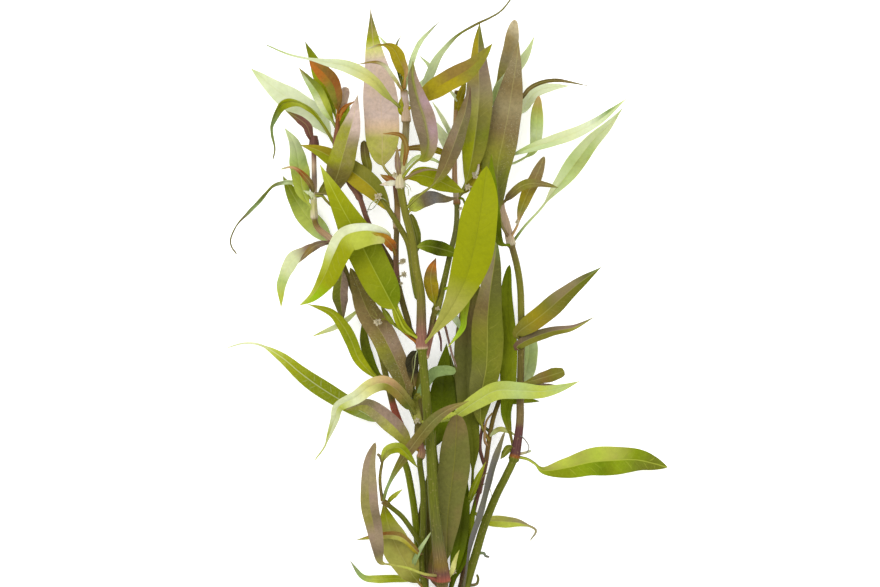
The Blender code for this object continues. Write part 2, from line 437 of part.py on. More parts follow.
def leaf_half_width(share, leaf):
    """A narrow petiole, then a lance-shaped blade that is widest before its middle."""
    blade = np.clip((share - leaf.petiole) / (1 - leaf.petiole), 0, 1)
    shape = np.sin(np.pi * blade ** BLADE_SKEW) ** BLADE_FULLNESS
    foot_or_tip = np.where(share < 0.5, PETIOLE_WIDTH, TIP_WIDTH) / 2
    return np.maximum(leaf.width / 2 * shape, np.minimum(foot_or_tip, leaf.width / 2))


def leaf_mesh(leaf, rings_along):
    """A thin blade with a shallow trough; each ring is left edge, top, right edge, underside."""
    points = leaf.points if leaf.stem else beside_stem(leaf.points, STEMS, PETIOLE_WIDTH / 2)
    path, length = smooth_path(points)
    share = np.linspace(0, 1, rings_along)
    centres = along(path, length, share * length[-1])
    side, normal = frames(centres, leaf.roll)
    half = leaf_half_width(share, leaf)[:, None]
    thick = np.where(share < leaf.petiole, PETIOLE_WIDTH * 0.8, LEAF_THICKNESS)[:, None] / 2
    thick = np.minimum(thick, half)
    rise = FOLD * half * (half > PETIOLE_WIDTH / 2)
    left = centres - side * half + normal * rise
    right = centres + side * half + normal * rise
    rings = np.stack([left, centres + normal * thick, right, centres - normal * thick], axis=1)
    return closed_mesh(leaf.name, rings)


def fuse(item, others):
    """Boolean union of the item with the pieces that grow from it, which then go."""
    for other in others:
        union = item.modifiers.new("fuse", "BOOLEAN")
        union.operation = "UNION"
        union.solver = "EXACT"
        union.object = other
    graph = bpy.context.evaluated_depsgraph_get()
    fused = bpy.data.meshes.new_from_object(item.evaluated_get(graph))
    item.modifiers.clear()
    item.data = fused
    for other in others:
        bpy.data.objects.remove(other)


def make_tie():
    """A soft band round the stems: an oval ring with a rectangular section."""
    angle = np.linspace(0, 2 * np.pi, TIE_SIDES, endpoint=False)
    inner = np.stack([TIE_INNER[0] * np.cos(angle), 0 * angle, TIE_INNER[1] * np.sin(angle)], axis=1)
    outer = np.stack([(TIE_INNER[0] + TIE_WALL) * np.cos(angle), 0 * angle,
                      (TIE_INNER[1] + TIE_WALL) * np.sin(angle)], axis=1)
    shift = np.array((0, TIE_WIDTH / 2, 0))
    section = np.stack([inner - shift, outer - shift, outer + shift, inner + shift], axis=1)
    section = (section + np.array(TIE_PLACE)) * MM
    faces = []
    for place in range(TIE_SIDES):
        following = (place + 1) % TIE_SIDES
        for corner in range(4):
            beside = (corner + 1) % 4
            faces.append((place * 4 + corner, place * 4 + beside,
                          following * 4 + beside, following * 4 + corner))
    mesh = bpy.data.meshes.new("tie")
    mesh.from_pydata(section.reshape(-1, 3).tolist(), [], faces)
    mesh.update()
    finish_material(new_object("tie", mesh), "tie", 0.8)


def build():
    """Stems with their young leaves, then the full-size leaves, then the tie."""
    for item in list(bpy.data.objects):
        bpy.data.objects.remove(item)
    for stem in STEMS:
        item = new_object(stem.name, stem_mesh(stem))
        young = [new_object(leaf.name, leaf_mesh(leaf, SMALL_LEAF_RINGS))
                 for leaf in LEAVES if leaf.stem == stem.name]
        if young:
            fuse(item, young)
        finish_material(item, stem.colour)
    for leaf in LEAVES:
        if leaf.stem is None:
            finish_material(new_object(leaf.name, leaf_mesh(leaf, leaf.rings)), leaf.colour)
    make_tie()


build()
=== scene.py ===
import json
from collections import namedtuple

import bpy
import numpy as np
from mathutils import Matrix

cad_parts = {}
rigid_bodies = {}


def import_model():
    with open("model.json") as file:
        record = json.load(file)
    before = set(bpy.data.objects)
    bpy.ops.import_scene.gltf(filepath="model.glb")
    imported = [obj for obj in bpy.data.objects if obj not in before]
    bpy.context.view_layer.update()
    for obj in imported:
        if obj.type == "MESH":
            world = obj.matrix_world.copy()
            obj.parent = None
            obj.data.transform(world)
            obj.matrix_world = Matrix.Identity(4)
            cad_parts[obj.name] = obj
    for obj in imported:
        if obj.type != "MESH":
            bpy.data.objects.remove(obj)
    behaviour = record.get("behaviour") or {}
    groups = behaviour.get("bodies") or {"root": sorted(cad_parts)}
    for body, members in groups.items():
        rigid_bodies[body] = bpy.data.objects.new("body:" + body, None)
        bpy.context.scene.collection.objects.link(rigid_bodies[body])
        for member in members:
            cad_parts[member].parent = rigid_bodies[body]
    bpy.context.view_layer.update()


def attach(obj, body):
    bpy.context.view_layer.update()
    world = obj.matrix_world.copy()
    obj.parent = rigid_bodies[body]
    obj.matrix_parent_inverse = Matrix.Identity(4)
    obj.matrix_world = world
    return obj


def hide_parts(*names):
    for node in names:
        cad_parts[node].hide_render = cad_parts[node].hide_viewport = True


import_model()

bl_info = {
    "name": "Cut bunch of alternanthera reineckii",
    "version": (1, 0, 0),
    "blender": (4, 5, 0),
    "location": "3D View > Sidebar > Plant bunch",
    "description": "Dresses the bunch's solids with modelled stems, leaves, dried flowers and a tie",
    "category": "Object",
}

# The frame: X is across the bunch, Y runs from the cut ends to the leaf tips, Z is up from the table.
# Routes are rows of points in millimetres: across, along, height.
MM = 0.001

# A stem: its nodes are places along Y, and its tones are places along Y with the tone there.
Stem = namedtuple("Stem", "name colour foot_radius top_radius nodes points tones parent", defaults=(None,))

# A leaf: the colour names its slot, and the points are its midrib from foot to tip.
# Tones run from foot to tip on the face that shows, on the back and, where it differs, on the left half.
# The second tone blotches the others, the patches say how much, and the strength is that of the veins.
# Halves, ends, fold and curl hold a value for the left and the right side, or for the foot and the tip.
# Twist and roll are degrees. Petiole and tail are shares of the length that have no blade.
Leaf = namedtuple("Leaf", "name colour width points tones back second left stripe vein strength patches "
                          "halves ends fold curl twist wave waves roll petiole tail stem",
                  defaults=(None, None, "straw", 0.12, 0.2, (1, 1), (1, 1), (14, 14), (-16, -16), (0, 0, 0),
                            0.5, 2.5, 0, 0.10, 0, None))

# A thin round strand: its tones run from foot to tip, and the radius is that of the foot.
Strand = namedtuple("Strand", "tones radius points")

# The round stems
STEMS = [
    Stem("stem_main", "stem_green", 2.2, 1.05, (-89.6, -8.1, 48, 71.4), [(-1, -117, 11), (-1.5, -103, 11.4),
        (-1.8, -97, 12.5), (-2, -87, 15), (-3.5, -75, 17), (-5, -60, 19), (-5.8, -45, 21),
        (-7.5, -25, 23.5), (-9, -6, 25), (-9.3, 10, 26), (-11, 20, 27), (-12.4, 30, 28), (-14.9, 40, 29),
        (-16.5, 50, 30), (-15.3, 58, 31), (-14.5, 68, 32), (-14.5, 73, 32.5), (-15.2, 82, 33.5)],
        [(-117, "lime"), (-95, "moss"), (-92, "bark"), (-89.8, "wood"), (-89.4, "brick"), (-87, "maroon"),
        (-84, "brown"), (-80, "bark"), (-75, "sedge"), (-60, "moss"), (-30, "moss"), (-8.3, "moss"),
        (-8, "blush"), (-7.4, "node"), (-3, "node"), (3, "bark"), (12, "olive"), (20, "olive"),
        (47.8, "olive"), (48.2, "cream"), (57, "straw"), (60, "khaki"), (68, "taupe"), (71.2, "bark"),
        (71.6, "blush"), (76, "blush"), (80, "rose"), (82, "brown")]),
    # The dark bark and wood stretch of stem_right up to 0 along Y is its own brown, darkened further as
    # painted shade of the leaves over it.
    Stem("stem_right", "stem_brown", 1.6, 1, (-47.2, 28, 55.6), [(3.2, -117, 7), (3.8, -103, 7),
        (7, -90, 8.8), (10, -80, 10), (13, -70, 11), (17, -60, 12.5), (20.5, -53, 13.5), (23.5, -46, 14.5),
        (25.3, -35, 15.5), (25.5, -25, 16), (25.7, -15, 16.5), (25.9, -5, 17), (25.8, 5, 17),
        (25.5, 13, 17), (24.5, 20, 16.5), (23, 26, 16), (22, 29.5, 16), (20.5, 36, 15), (19, 41, 14),
        (18.3, 48, 13.5), (18.6, 57, 13), (19.5, 66, 12.5), (20.5, 75, 12)], [(-117, "moss"), (-80, "moss"),
        (-46.4, "moss"), (-46.1, "rust"), (-45.6, "rust"), (-45, "plum"), (-36, "plum"), (-34, "bark"),
        (-27, "bark"), (-22, "wood"), (-9, "wood"), (0, "wood"), (4, "olive"), (20, "olive"),
        (27.8, "bark"), (28.2, "cream"), (31, "blush"), (45, "blush"), (57, "node"), (62, "brown"),
        (75, "brown")]),
    Stem("stem_left", "stem_green", 1.4, 0.8, (-35.2, 28.6, 37.6), [(-5.2, -117, 6.2), (-5.7, -103, 6.2),
        (-8, -91, 6.8), (-10, -80, 7.5), (-11, -70, 8), (-12, -62, 8.5), (-13.8, -52, 9), (-15.5, -46, 9.5),
        (-16, -38, 9.5), (-17.5, -33, 9.5), (-19.3, -27, 9.5), (-21.5, -18, 9.5), (-23.5, -10, 9.5),
        (-27, -2, 9.5), (-29.5, 3, 9.5), (-33, 12, 9.5), (-37, 22, 9.5), (-40.5, 29.5, 10),
        (-45, 33.5, 10.5), (-46.5, 37, 11), (-46.8, 44.5, 12), (-46.6, 50, 12.5), (-46.8, 60, 14),
        (-47, 63.5, 14.5)], [(-117, "grass"), (-60, "grass"), (-37, "moss"), (-35.4, "moss"),
        (-35, "brick"), (-28, "brick"), (-26, "wood"), (-10, "olive"), (20, "wood"), (28.2, "wood"),
        (29, "blush"), (33, "tan"), (35.5, "brown"), (37, "brown"), (37.8, "cream"), (42, "straw"),
        (46, "cream"), (47, "blush"), (52, "mauve"), (56, "blush"), (60, "node"), (63, "maroon")]),
    Stem("stem_inner_olive", "stem_green", 1.25, 1, (-46.4, -34.2), [(-4, -117, 9.8), (-4.5, -103, 9.8),
        (-9, -86, 10.5), (-8.5, -70, 11), (-8.5, -58, 11.5), (-9.7, -48, 12), (-9, -44.5, 12.3),
        (-10.5, -38, 12.7), (-10.3, -33, 13), (-11.5, -26, 13.5)], [(-117, "moss"), (-46.6, "moss"),
        (-46.2, "tan"), (-43, "node"), (-40, "wood"), (-34.4, "wood"), (-34, "khaki"), (-31, "khaki"),
        (-29, "olive")]),
    Stem("stem_lower_right", "stem_brown", 0.95, 0.8, (-58.8, -21, -9), [(1, -117, 3.6), (1.5, -103, 3.6),
        (5, -90, 3.7), (6.5, -78, 4), (8.5, -68, 5), (11, -58, 6), (13.3, -49, 7), (14.5, -41, 8),
        (16, -33, 9), (18, -27, 8.5), (20.5, -20, 7.5), (22.5, -13, 7), (23.2, -7, 7)], [(-117, "wood"),
        (-62, "maroon"), (-54, "maroon"), (-40, "brown"), (-20, "wood"), (-8, "moss")]),
    Stem("stem_thin_green", "stem_green", 0.8, 0.8, (-60.8,), [(-1.5, -117, 7.6), (-1, -103, 7.6),
        (2, -88, 7.6), (4, -75, 7.6), (6.5, -65, 7.6), (8.6, -58.5, 8)], [(-117, "grass"), (-60, "deep")]),
    Stem("side_shoot_low", "stem_green", 0.9, 0.8, (-62.8,), [(-11.3, -76.6, 12), (-13, -71, 13.8),
        (-16, -67, 15.6), (-19.5, -64, 17.5), (-22.5, -61.7, 18.5)], [(-77, "moss"), (-64, "moss"),
        (-62, "brown")], "stem_inner_olive"),
    Stem("branch_left", "stem_brown", 1.1, 0.9, (34,), [(-12.6, -6.5, 22.5), (-13, -2, 22.3), (-14, 2, 22),
        (-16, 9, 20.5), (-17.7, 17, 19.5), (-18, 26, 19), (-17.7, 35, 19), (-17.6, 42, 19),
        (-18.5, 51, 19.5)], [(-6, "maroon"), (-4, "wood"), (14, "wood"), (18, "node"), (26, "bark"),
        (33.8, "bark"), (34.2, "blush"), (38, "tan"), (42, "brown"), (49, "maroon"), (51, "rose")],
        "stem_main"),
    Stem("shoot_upper_left", "stem_brown", 1, 0.8, (44.8, 63), [(-20, 19, 16), (-26.5, 33.5, 14.5),
        (-28.5, 38, 14.5), (-31, 45, 14), (-34.5, 50, 14), (-36.8, 56, 14), (-39, 63, 15), (-38.5, 69, 16),
        (-38.2, 73.5, 16.5)], [(19, "wood"), (34, "maroon"), (44.6, "node"), (56, "node"), (63, "node"),
        (73, "rust")], "branch_left"),
    Stem("branch_middle", "stem_green", 1.1, 0.8, (-10.8, 5, 42.4), [(-5.8, -11, 21.6), (-5.8, -3, 21.5),
        (-4.8, 3, 21.3), (-3, 8, 21), (-1, 16, 20.5), (1, 25, 20), (3, 34, 19.5), (3.3, 43, 19.5),
        (2.6, 50, 19.5), (2.5, 60, 20), (2.8, 70, 20.5), (3.2, 82, 21)], [(-12, "blush"), (-11, "blush"),
        (-10.6, "node"), (-4, "node"), (1, "wood"), (6, "olive"), (20, "moss"), (30, "sedge"),
        (42.2, "sedge"), (42.6, "rust"), (46, "cream"), (50, "tan"), (70, "tan"), (82, "brown")],
        "stem_main"),
]

# Upper left shoot and far left
UPPER_LEFT = [
    Leaf("leaf_crown_pale_left", "pale", 4.6, [(-17.6, 74.8, 33.5), (-21, 80, 36), (-25, 84.5, 37),
        (-30, 88, 36.5), (-36, 90.5, 34.5), (-45, 92.3, 30), (-55, 94.5, 24.5), (-63.5, 98, 19)],
        "moss khaki straw pale frost frost sage fern", "lime mint", "mint", fold=(30, 20), roll=10,
        tail=0.3),
    Leaf("leaf_far_left_pale", "pale", 8.6, [(-40.9, 64, 12), (-45, 72, 8), (-52, 77, 5), (-60, 82.5, 3),
        (-69, 90, 0.45)], "sage frost frost frost frost sage", "mint pale", "sage", patches=0.4),
    Leaf("leaf_far_left_arch", "yellow", 3.6, [(-41.2, 63.2, 15.5), (-43.5, 70, 13), (-47, 75, 12),
        (-52.5, 78, 11.5), (-58, 77.3, 10.5), (-61.5, 71, 9), (-61.7, 67, 8), (-60.6, 62, 6),
        (-61.2, 58, 4.5)], "moss olive grass fresh lime fresh grass fern fern moss slate", "lime fresh",
        "grass", fold=(35, 35), twist=(0, 10, 0), roll=35, petiole=0.2, tail=0.1),
    Leaf("leaf_left_shoot_dark", "dark", 5, [(-39.9, 72, 13.6), (-41, 78, 11), (-44, 85, 8), (-46.5, 92, 5),
        (-50, 99.5, 2)], "moss grass fresh fresh grass moss", "moss deep grass deep", "deep", strength=0),
    Leaf("leaf_left_shoot_green", "bright", 4.6, [(-41, 69.2, 16.2), (-42.8, 76, 15.5), (-45.5, 81.5, 13.5),
        (-52, 90, 10)], "moss grass lime grass moss brown", "mint", "fern",
        "moss mint pale mint sage brown"),
    Leaf("leaf_left_shoot_rust", "rust", 5.6, [(-38.9, 74.6, 20), (-38.7, 79, 21.5), (-40, 84, 21),
        (-43.5, 88.5, 20.5), (-48, 92.5, 19)], "rust brown rust brown amber", "brown", "rust",
        "amber olive olive amber amber", vein="brown", patches=0.3, ends=(1, 0.5)),
    Leaf("leaf_left_tall_mauve", "mauve", 9.2, [(-44.6, 45.6, 14.4), (-41.5, 46.5, 16), (-39.5, 50, 18.5),
        (-38, 54, 21), (-35.5, 63, 24), (-33, 72, 26), (-31.4, 80.3, 26.5)],
        "wood wood wood wood wood olive olive taupe rose rose rose mauve", "moss olive", "mauve",
        "wood wood wood wood wood fresh fresh fresh fresh rose rose rose", patches=0.3),
    Leaf("leaf_left_olive_long", "yellow", 8.2, [(-12, 13, 24.4), (-12, 20, 24.4), (-13.4, 27.5, 24),
        (-16, 33, 23.4), (-21, 41, 22.2), (-25.5, 47.3, 21), (-31, 52, 19.5), (-38, 57, 18),
        (-45, 61, 17.8), (-51.5, 63, 17.6)],
        "moss moss moss moss moss olive moss olive olive mustard mustard mustard", "moss olive", "olive",
        "moss moss moss moss moss mustard mustard mustard mustard fresh fresh mustard", patches=0.4,
        petiole=0.42),
    Leaf("leaf_outer_left_light", "pale", 7, [(-48.9, 40, 13.4), (-50.4, 46, 12), (-52, 55, 10.5),
        (-53.5, 63, 9.5), (-57, 69, 9)], "lime lime lime mint pale sage", "mint", "fern", vein="pale",
        patches=0.4, roll=-20),
    Leaf("leaf_outer_left_hook", "olive", 1.9, [(-48.5, 43.8, 9.6), (-51, 47.5, 7), (-54, 50.2, 6.5),
        (-60, 49.5, 7), (-64, 46, 7), (-69, 40.5, 6), (-73.5, 35.5, 4.5), (-76, 30.5, 3), (-75.8, 27.5, 2),
        (-74, 24.8, 1)], "khaki khaki sage moss fern slate slate slate", "moss", "moss", fold=(40, 40),
        roll=45, tail=0.25),
    Leaf("leaf_outer_left_dark", "dark", 7.2, [(-39.6, 26.6, 6.4), (-43, 31.5, 5), (-48, 36.5, 3.5),
        (-53, 43.5, 2.5), (-57.8, 52.3, 2)], "mint mint mint lime lime grass grass moss", "grass", "fern",
        patches=0.3),
    Leaf("leaf_left_pale_hanging", "pale", 5, [(-42.4, 28, 12.2), (-46, 27.6, 13), (-50, 25.6, 12.5),
        (-54.5, 22.4, 10.5), (-58, 15, 7), (-58.4, 6, 3.5)], "moss maroon mauve pale pale mint lime lime",
        "mint pale", "sage", fold=(4, 4), curl=(-6, -6), roll=-20),
]

# Left side of the main stem
LEFT_SIDE = [
    # The pale and frost band over the arch in its right half is a painted highlight on the fold.
    Leaf("leaf_bright_fold", "bright", 11, [(-19.5, 24.5, 21.5), (-20, 29, 26), (-22.5, 31.8, 30),
        (-29, 33, 34), (-36, 31, 35), (-39.5, 25, 34), (-43, 17, 31), (-47, 10.5, 28), (-51.8, 6.8, 25)],
        "rust mustard pale frost pale pale lime fresh lime lime", "fresh lime", "fresh",
        "rust mustard straw lime lime fresh fresh fresh acid lime", halves=(1.2, 0.6), fold=(24, 16),
        curl=(-30, -44), wave=0.7, roll=-12, petiole=0.14),
    # Besides its own green, its lighter left half is partly painted highlight, and the darker grass and
    # vivid of its right half near the foot are painted shade.
    Leaf("leaf_bright_left", "bright", 12.8, [(-11.5, -5, 27.5), (-14.8, -1.5, 28), (-17.6, 4, 28),
        (-20.8, 10, 27.5), (-26, 20, 26.5), (-32, 32, 26), (-37.4, 42, 26), (-41, 49, 26.5),
        (-44.5, 56, 27)], "fresh grass vivid grass grass fresh fresh lime", "grass fresh", "grass",
        "lime fresh grass fresh grass fresh fresh lime", vein="lime", strength=0.35, patches=0.3,
        ends=(0.6, 1), fold=(12, 16), wave=0.8, petiole=0.21),
    Leaf("leaf_left_grey_hanging", "taupe", 5.6, [(-36.4, 21, 12.2), (-37.5, 12, 12), (-37.2, 6, 9),
        (-36.5, 1.8, 6.5)], "moss moss moss slate", "moss", "mauve", "slate mauve mauve slate"),
    Leaf("leaf_left_olive_arch", "olive", 4.4, [(-22.6, -20, 12), (-26, -17.5, 12), (-31, -12, 12.5),
        (-33.5, -6, 13), (-36.5, -0.5, 13.5), (-41, 4.5, 13.5), (-49, 7.3, 13)],
        "grass fresh grass fresh fresh", "lime", "grass"),
    Leaf("leaf_lower_left_long", "yellow", 6.2, [(-19.4, -34.8, 8.6), (-25, -33, 6.5), (-30, -30.5, 5),
        (-39, -25.5, 4.5), (-46, -21, 4.5), (-52, -16.5, 4.5), (-58, -11.5, 4), (-65, -7.3, 3),
        (-71, -6.4, 1.6), (-77.3, -8, 0.4)], "moss mint grass grass grass fresh lime pale sage", "lime",
        "fresh", vein="pale", strength=0.3, ends=(0.72, 0.72), fold=(20, 14), tail=0.2),
    Leaf("leaf_lower_left_taupe", "taupe", 6.6, [(-11.2, -44.3, 13.8), (-13.5, -42, 15), (-16, -38.5, 16),
        (-20, -34.3, 16.5), (-24, -31, 16.5), (-29, -28, 15), (-36, -30, 11.5)],
        "rust olive mauve mauve taupe taupe", "moss", "moss", "rust olive khaki taupe khaki olive",
        vein="khaki", patches=0.3),
    Leaf("leaf_lower_left_arch", "yellow", 5.4, [(-12.4, -31.8, 16), (-14.8, -26, 20), (-18, -22.5, 22),
        (-22, -20.3, 23), (-27, -21.5, 22.5), (-32, -25.2, 21), (-38, -28.5, 18), (-39.5, -33, 15.5),
        (-41.7, -39, 11.5), (-43.3, -43, 8.5), (-46.5, -47.5, 5)],
        "olive olive brown tan straw pale pale pale lime pale lime", "lime", "mint",
        "olive moss brown olive straw pale lime pale pale lime lime", ends=(0.42, 0.7), fold=(24, 20),
        roll=15, petiole=0.06, tail=0.14),
    # Its dull dark tones are its own colour, darkened further as painted shade of the crowded middle of the
    # bunch.
    Leaf("leaf_left_big_taupe", "taupe", 9.2, [(-12.8, -35.5, 11.8), (-14, -27, 14), (-14.8, -21, 15.5),
        (-18.4, -12, 16.8), (-22.4, -4, 17.4), (-27.4, 4, 17.8), (-31.2, 13, 17.6), (-34, 20, 17.2)],
        "olive moss bark bark mauve bark wood wood wood", "deep moss", "bark",
        "olive moss moss sedge olive bark bark wood wood", patches=0.4, ends=(1, 0.7), fold=(18, 22),
        wave=0.6),
]

# Crown
CROWN = [
    Leaf("leaf_crown_big_mauve", "mauve", 12.6, [(-20.6, 51.8, 20.4), (-22.5, 56, 20.4), (-22.8, 64, 20.4),
        (-23, 72, 20.4), (-23.4, 79, 20.4), (-24.5, 88, 19.5), (-25.8, 97, 18), (-27, 111, 15)],
        "moss olive fresh khaki khaki blush rose rose rose rose rose rose straw fresh olive sedge sedge",
        "grass moss", "blush", vein="blush", strength=0.22, patches=0.3, ends=(0.75, 1.25), fold=(10, 10),
        wave=0.7, waves=3),
    Leaf("leaf_crown_arch_left", "rust", 5.2, [(-15.2, 84.2, 34.5), (-15, 88, 35.5), (-16.5, 92, 36),
        (-19, 96.5, 35), (-23, 97.8, 33), (-28, 96.5, 29.5)], "rust tan mustard mustard brown pale",
        "brown", "mustard", "rust mustard mustard mustard mustard pale", fold=(24, 24), roll=15,
        petiole=0.15, tail=0.25),
    Leaf("leaf_front_mauve", "mauve", 7.8, [(-14.6, 51, 32.2), (-13, 55, 35), (-10.5, 57.3, 38),
        (-7.6, 58.8, 40), (-6.6, 64, 42), (-7.8, 71, 44), (-10.3, 79, 44.5), (-12, 86, 44), (-12, 92, 43)],
        "fresh grass grass olive mauve lilac mauve lilac mauve mauve sedge", "moss", "mauve",
        "fresh grass grass olive slate slate slate slate slate slate sedge", stripe="moss", patches=0.3,
        fold=(16, 24), curl=(-30, -26), petiole=0.24),
    Leaf("leaf_crown_olive_right", "olive", 7.8, [(-12.6, 75, 33.6), (-10, 78.5, 35.5), (-7, 80.7, 36.5),
        (0, 85, 36.5), (7, 89, 35.5), (12, 93.7, 34), (15.7, 98.3, 32)],
        "mustard mustard mustard mustard olive olive fresh", "moss", "brown",
        "mustard mustard mustard brown brown olive olive", vein="mustard", patches=0.4, fold=(10, 24)),
    Leaf("leaf_crown_tail", "pale", 3.2, [(-12.6, 77.4, 30), (-10, 79.6, 29.5), (-7.5, 84, 28.5),
        (-4.5, 91, 28), (-1, 96.5, 28), (4, 101.5, 28.5), (10, 105, 29), (15, 107.4, 29), (19, 110, 29),
        (22.3, 114.2, 28.5), (23.8, 117, 28)], "sage sage sage sage sage moss wood wood wood wood", "moss",
        "moss", roll=30, tail=0.42),
    Leaf("leaf_tall_grey_olive", "olive", 9.8, [(5.4, 44.6, 19.6), (6.5, 50, 20.5), (8.5, 58, 21.5),
        (10, 68, 22.5), (11, 78, 23.5), (11, 88, 24), (10.8, 98, 23.5), (11.3, 105.8, 22)],
        "olive fresh olive moss olive taupe mauve sedge moss", "moss", "slate",
        "fresh fresh fresh fresh khaki taupe mustard mustard moss", patches=0.3),
    Leaf("leaf_speckled_taupe", "taupe", 10.4, [(20.2, 31, 18.8), (19, 35, 19.4), (18, 41, 19.6),
        (17.4, 50, 19.2), (17.8, 57, 18.8), (19.5, 65, 18.2), (21.3, 74, 17.4), (22.7, 83, 16),
        (24, 91, 15), (25, 99, 13.5)], "maroon olive sedge moss olive bark taupe bark taupe bark",
        "deep moss", "slate", patches=0.4, halves=(1.25, 1), wave=0.6, waves=3, petiole=0.16),
    Leaf("leaf_back_damaged_tip", "brown", 5.4, [(18.1, 71.5, 9.8), (18, 78, 9.6), (19.5, 86, 9.4),
        (21.5, 94, 9), (23.7, 107, 8.5)], "olive olive khaki taupe taupe cream", "moss", "brown",
        vein="taupe", patches=0.5, ends=(1, 0.45)),
]

# Right side
RIGHT_SIDE = [
    # The slate at its foot is the underside's tone, darkened as painted shade.
    Leaf("leaf_right_green_upright", "bright", 4.6, [(20.4, 56, 11.2), (24, 57, 10), (29.5, 60.5, 10),
        (31, 65, 10.5), (31.3, 72, 10.5), (32, 80.3, 10.5)], "slate sage mint mint sage mint khaki tan",
        "lime", "olive", ends=(1, 0.6), petiole=0.3),
    Leaf("leaf_right_pale_long", "pale", 4.2, [(20.7, 58.4, 14.6), (24, 60, 16), (30, 62.3, 16.5),
        (37, 64.5, 15.5), (44, 67, 13), (52, 71, 10), (58, 75.5, 7), (63, 79.5, 4)],
        "moss sage sage pale frost sage pale", "sage", "sage", "sage mint pale pale frost fern sage"),
    Leaf("leaf_right_pale_green", "pale", 6.6, [(24.2, 29.4, 14.6), (27, 34.5, 12.5), (32.5, 40.5, 10),
        (37, 46.5, 8), (41.5, 52, 6), (45.5, 57.5, 4.5), (50.5, 64, 3), (56, 69.5, 1.8), (61.5, 76, 0.4)],
        "moss fern sage pale sage mint fresh mint pale pale mint", "lime", "sage",
        "moss fern sage pale pale sage mint pale pale frost sage", patches=0.5, ends=(1.3, 1.2),
        fold=(18, 26), petiole=0.3),
    Leaf("leaf_right_brown", "brown", 4.6, [(23.6, 31.4, 18.2), (24.5, 35, 17.5), (26, 41, 16.5),
        (28.5, 47, 15), (31.5, 53, 14), (33.9, 59, 13)], "tan tan olive mustard brown bark bark", "moss",
        "taupe", ends=(1, 0.6), petiole=0.2),
    Leaf("leaf_right_brown_arch", "brown", 3.4, [(20.6, 43, 18), (23, 46.2, 20), (26, 48.6, 20.8),
        (30, 49.5, 20.8), (35, 49, 19), (38.8, 48, 17)], "bark bark olive bark moss", "moss", "brown",
        fold=(20, 20), roll=10),
    # Its dull dark tones are its own colour, darkened further as painted shade of the crowded middle of the
    # bunch.
    Leaf("leaf_middle_olive_big", "olive", 11.2, [(14.2, -40.5, 10), (11.8, -34, 13), (12, -24, 14.2),
        (13.6, -15, 15.2), (14, -6, 15.6), (14.1, 2, 15.6), (15, 12, 15), (16.5, 22, 14), (17.3, 31, 12.5)],
        "rust moss moss moss moss moss sedge sedge fern", "deep moss", "olive",
        "brown moss sedge sedge moss olive bark taupe taupe fern", vein="khaki", strength=0.3, patches=0.3),
    Leaf("leaf_middle_deep_green", "dark", 4.8, [(22, -43.6, 12), (21, -32, 11.5), (21.5, -25, 11.5),
        (22.2, -10, 11), (21.3, 2, 10.5), (21, 12, 10), (21.8, 21, 9)],
        "brown vivid grass grass grass vivid", "deep", "deep", strength=0, halves=(1.5, 1),
        ends=(0.8, 0.55)),
    Leaf("leaf_behind_front_leaf", "dark", 4.4, [(20.8, 27, 18.8), (18.4, 29, 22.3), (16.4, 37, 24.5),
        (15.6, 47, 25), (15.3, 59.7, 25)], "vivid deep vivid vivid vivid", "deep", "grass", strength=0),
    Leaf("leaf_front_broad", "bright", 14, [(-7.2, -6.8, 27.5), (-4, -1.5, 30), (0, 4, 32), (3.5, 10, 34),
        (7, 18, 36.5), (9.5, 28, 38.5), (11, 36, 39.5), (12.5, 46, 39.5), (13.7, 55.5, 38.5)],
        "khaki khaki khaki fresh fresh fresh fresh fresh", "grass lime", "grass", vein="moss",
        strength=0.16, ends=(1.8, 0.8), fold=(20, 10), curl=(-16, -8), wave=0.7, waves=2, petiole=0.04),
    Leaf("leaf_middle_mustard_strip", "yellow", 7.2, [(-14.2, 50.8, 28), (-10, 52.3, 27.5),
        (-4, 50.8, 26.5), (2, 48, 25.5), (6, 46.5, 24.5)], "mustard fresh fresh fresh fresh", "olive",
        "olive"),
    Leaf("leaf_middle_mauve", "mauve", 6.2, [(-12.4, 41, 30.2), (-9.5, 45.5, 31), (-5, 49, 31),
        (-1.5, 54, 30.5), (1.5, 61, 30), (4, 68, 29.5), (6.3, 75, 29), (8, 84, 28)],
        "moss olive olive bark slate slate slate maroon", "moss", "moss",
        "moss olive bark bark mauve bark mauve", patches=0.3, petiole=0.26),
    Leaf("leaf_middle_slate", "taupe", 5.6, [(-12.6, 39.2, 27), (-10, 43, 25.6), (-5, 44.5, 24.2),
        (0, 44, 23.2), (3.5, 44.5, 22.6)], "khaki lime slate ash slate slate", "moss", "moss", vein="taupe",
        ends=(0.5, 1)),
]

